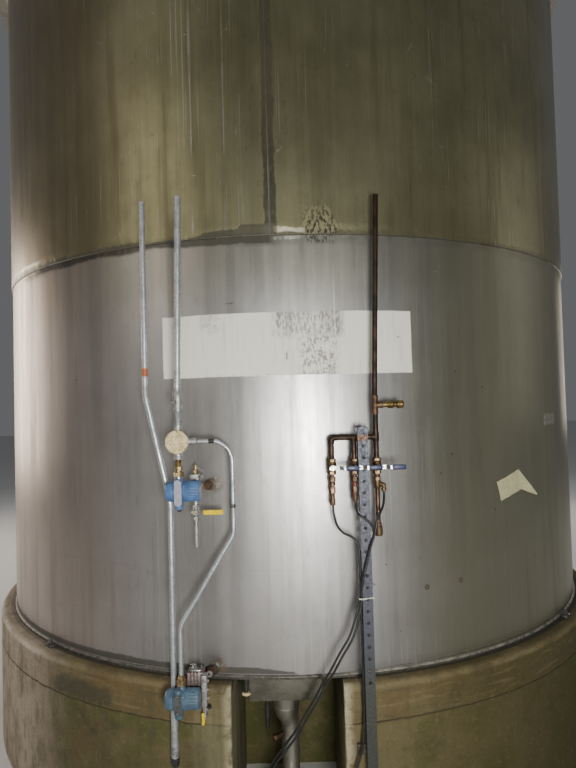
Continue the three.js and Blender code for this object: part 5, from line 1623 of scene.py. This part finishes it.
def make_anchor_clips():
    for i in range(CLIPS):
        turn = Matrix.Rotation(math.radians(FIRST_CLIP_ANGLE + 360 / CLIPS * i), 4, "Z")
        piece = Piece(f"anchor_clip_fine_{i + 1}", CLIP)
        piece.box((-30, -1878, 720), (30, -1847.5, 731), bevel=2, turn=turn)
        piece.box((-30, -1850, 728.3), (30, -1843.5, 736), bevel=1.5, turn=turn)
        piece.stack(turn @ Vector((0, -1862, 731)), TOP, ("rod", 0, 27, 7.5, None, 20), ("rod", 0, 3, 16),
                    ("nut", 3, 16, 13))
        piece.place("cast_metal", f"anchor_clip_{i + 1}")


def along_line(line, share):
    """A point on a line of evenly shared stretches."""
    place = share * (len(line) - 1)
    i = min(int(place), len(line) - 2)
    (a0, z0), (a1, z1) = line[i], line[i + 1]
    return a0 + (a1 - a0) * (place - i), z0 + (z1 - z0) * (place - i)


def curved_patch(name, top, bottom, lift, thickness, finish):
    """A thin sheet on the shell between two lines of (degrees, height), lifted by a function."""
    columns, rows = 32, 16
    points = []
    for offset in (0.3, 0.3 + thickness):
        for j in range(rows + 1):
            for i in range(columns + 1):
                u, v = i / columns, j / rows
                (a0, z0), (a1, z1) = along_line(top, u), along_line(bottom, u)
                radius = SHELL_RADIUS + offset + lift(u, v)
                points.append(on_shell(a0 + (a1 - a0) * v, z0 + (z1 - z0) * v, radius))
    width = columns + 1
    count = width * (rows + 1)
    faces = []
    for j in range(rows):
        for a in range(j * width, j * width + columns):
            face = (a, a + 1, a + width + 1, a + width)
            faces += [face, tuple(count + corner for corner in reversed(face))]
    rim = list(range(width)) + [width * (j + 1) - 1 for j in range(1, rows + 1)]
    rim += [width * rows + i for i in range(columns - 1, -1, -1)]
    rim += [width * j for j in range(rows - 1, 0, -1)]
    for a, b in zip(rim, rim[1:] + rim[:1]):
        faces.append((a, b, count + b, count + a))
    piece = Piece(name, finish)
    piece.shell((points, faces))
    return piece


def make_labels():
    def curl(u, v):
        return 1.2 + 62 * max(0.0, u - 0.5) + 0.8 * math.sin(9 * u + 4 * v)

    top = [(31.6, 1483), (36.9, 1529), (40.2, 1401)]
    bottom = [(32.4, 1391), (37.3, 1431), (40.1, 1396)]
    curved_patch("tape_patch", top, bottom, curl, 0.4, TAPE).place("cream_paint", sharp=12)
    top, bottom = [(45.9, 1790), (50.4, 1790)], [(45.8, 1731), (50.2, 1731)]
    plate = curved_patch("blank_plate", top, bottom, lambda u, v: 0.6, 1.4, LABEL)
    for degrees in (46.4, 49.8):
        for z in (1784, 1737):
            place = on_shell(degrees, z, SHELL_RADIUS + 2.2)
            plate.stack(place, on_shell(degrees, 0, 1), ("rod", 0, 1.2, 3, CHROME, 12, 0.4))
    plate.place("cream_paint", sharp=40)


def dress_plain_nodes():
    for node, finish in (("tank_floor_plate", FLOOR_EDGE), ("conduit_standoff", ZINC)):
        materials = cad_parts[node].data.materials
        materials.clear()
        materials.append(finish)


make_camera()
make_floor()
make_light()
plinth_lift("plinth_lower_fine", "plinth_lower_lift", 0, LIFT_JOINT, 3, CONCRETE_LOW)
plinth_lift("plinth_top_fine", "plinth_top_lift", LIFT_JOINT, PLINTH_HEIGHT, ARRIS_RADIUS, CONCRETE_TOP)
shell_course("shell_lower_fine", "shell_lower_course", INSIDE_RADIUS, SHELL_RADIUS, LOWER_EDGE,
             SEAM_HEIGHT + LAP, STEEL_LOWER)
shell_course("shell_upper_fine", "shell_upper_course", SHELL_RADIUS + 0.3, UPPER_RADIUS, SEAM_HEIGHT,
             SHELL_TOP, STEEL_UPPER)
make_welds()
make_roof()
make_manway()
make_vent()
make_sump()
make_reducer()
make_outlet_valve()
make_actuator()
make_long_conduit()
make_sealing_fitting()
make_unions()
make_transmitter("upper_transmitter", UPPER_PLACE, BOX_X, BLUE, NAMEPLATE, 106, -3)
make_transmitter("lower_transmitter", LOWER_PLACE, LOWER_PORT_X, DULL_BLUE, DARK_PLATE, 84, -8)
make_blocks()
make_root_valve("upper_root_fine", "upper_root_valve", -10.96, UPPER_PLACE[2] + 7, False)
make_root_valve("lower_root_fine", "lower_root_valve", -11.1, LOWER_PLACE[2] + 60, True)
make_drain_and_sample()
make_lever("sample_lever", (SAMPLE_X, SAMPLE_Y - 34.3, SAMPLE_STEM), 120, 36, 12, 20, YELLOW,
           "yellow_sleeve")
make_post()
make_copper()
for valve_side, valve_x in VALVES.items():
    make_air_valve(valve_side, valve_x)
    make_lever(f"air_lever_{valve_side}", (valve_x, LEVER_BACK, STEM_Z), LEVER_LENGTH, 50, 18, 20, DARK_BLUE,
               "blue_sleeve")
for valve_side, valve_x in VALVES.items():
    make_air_fitting(valve_side, valve_x)
make_hoses()
make_tie()
make_anchor_clips()
make_labels()
dress_plain_nodes()
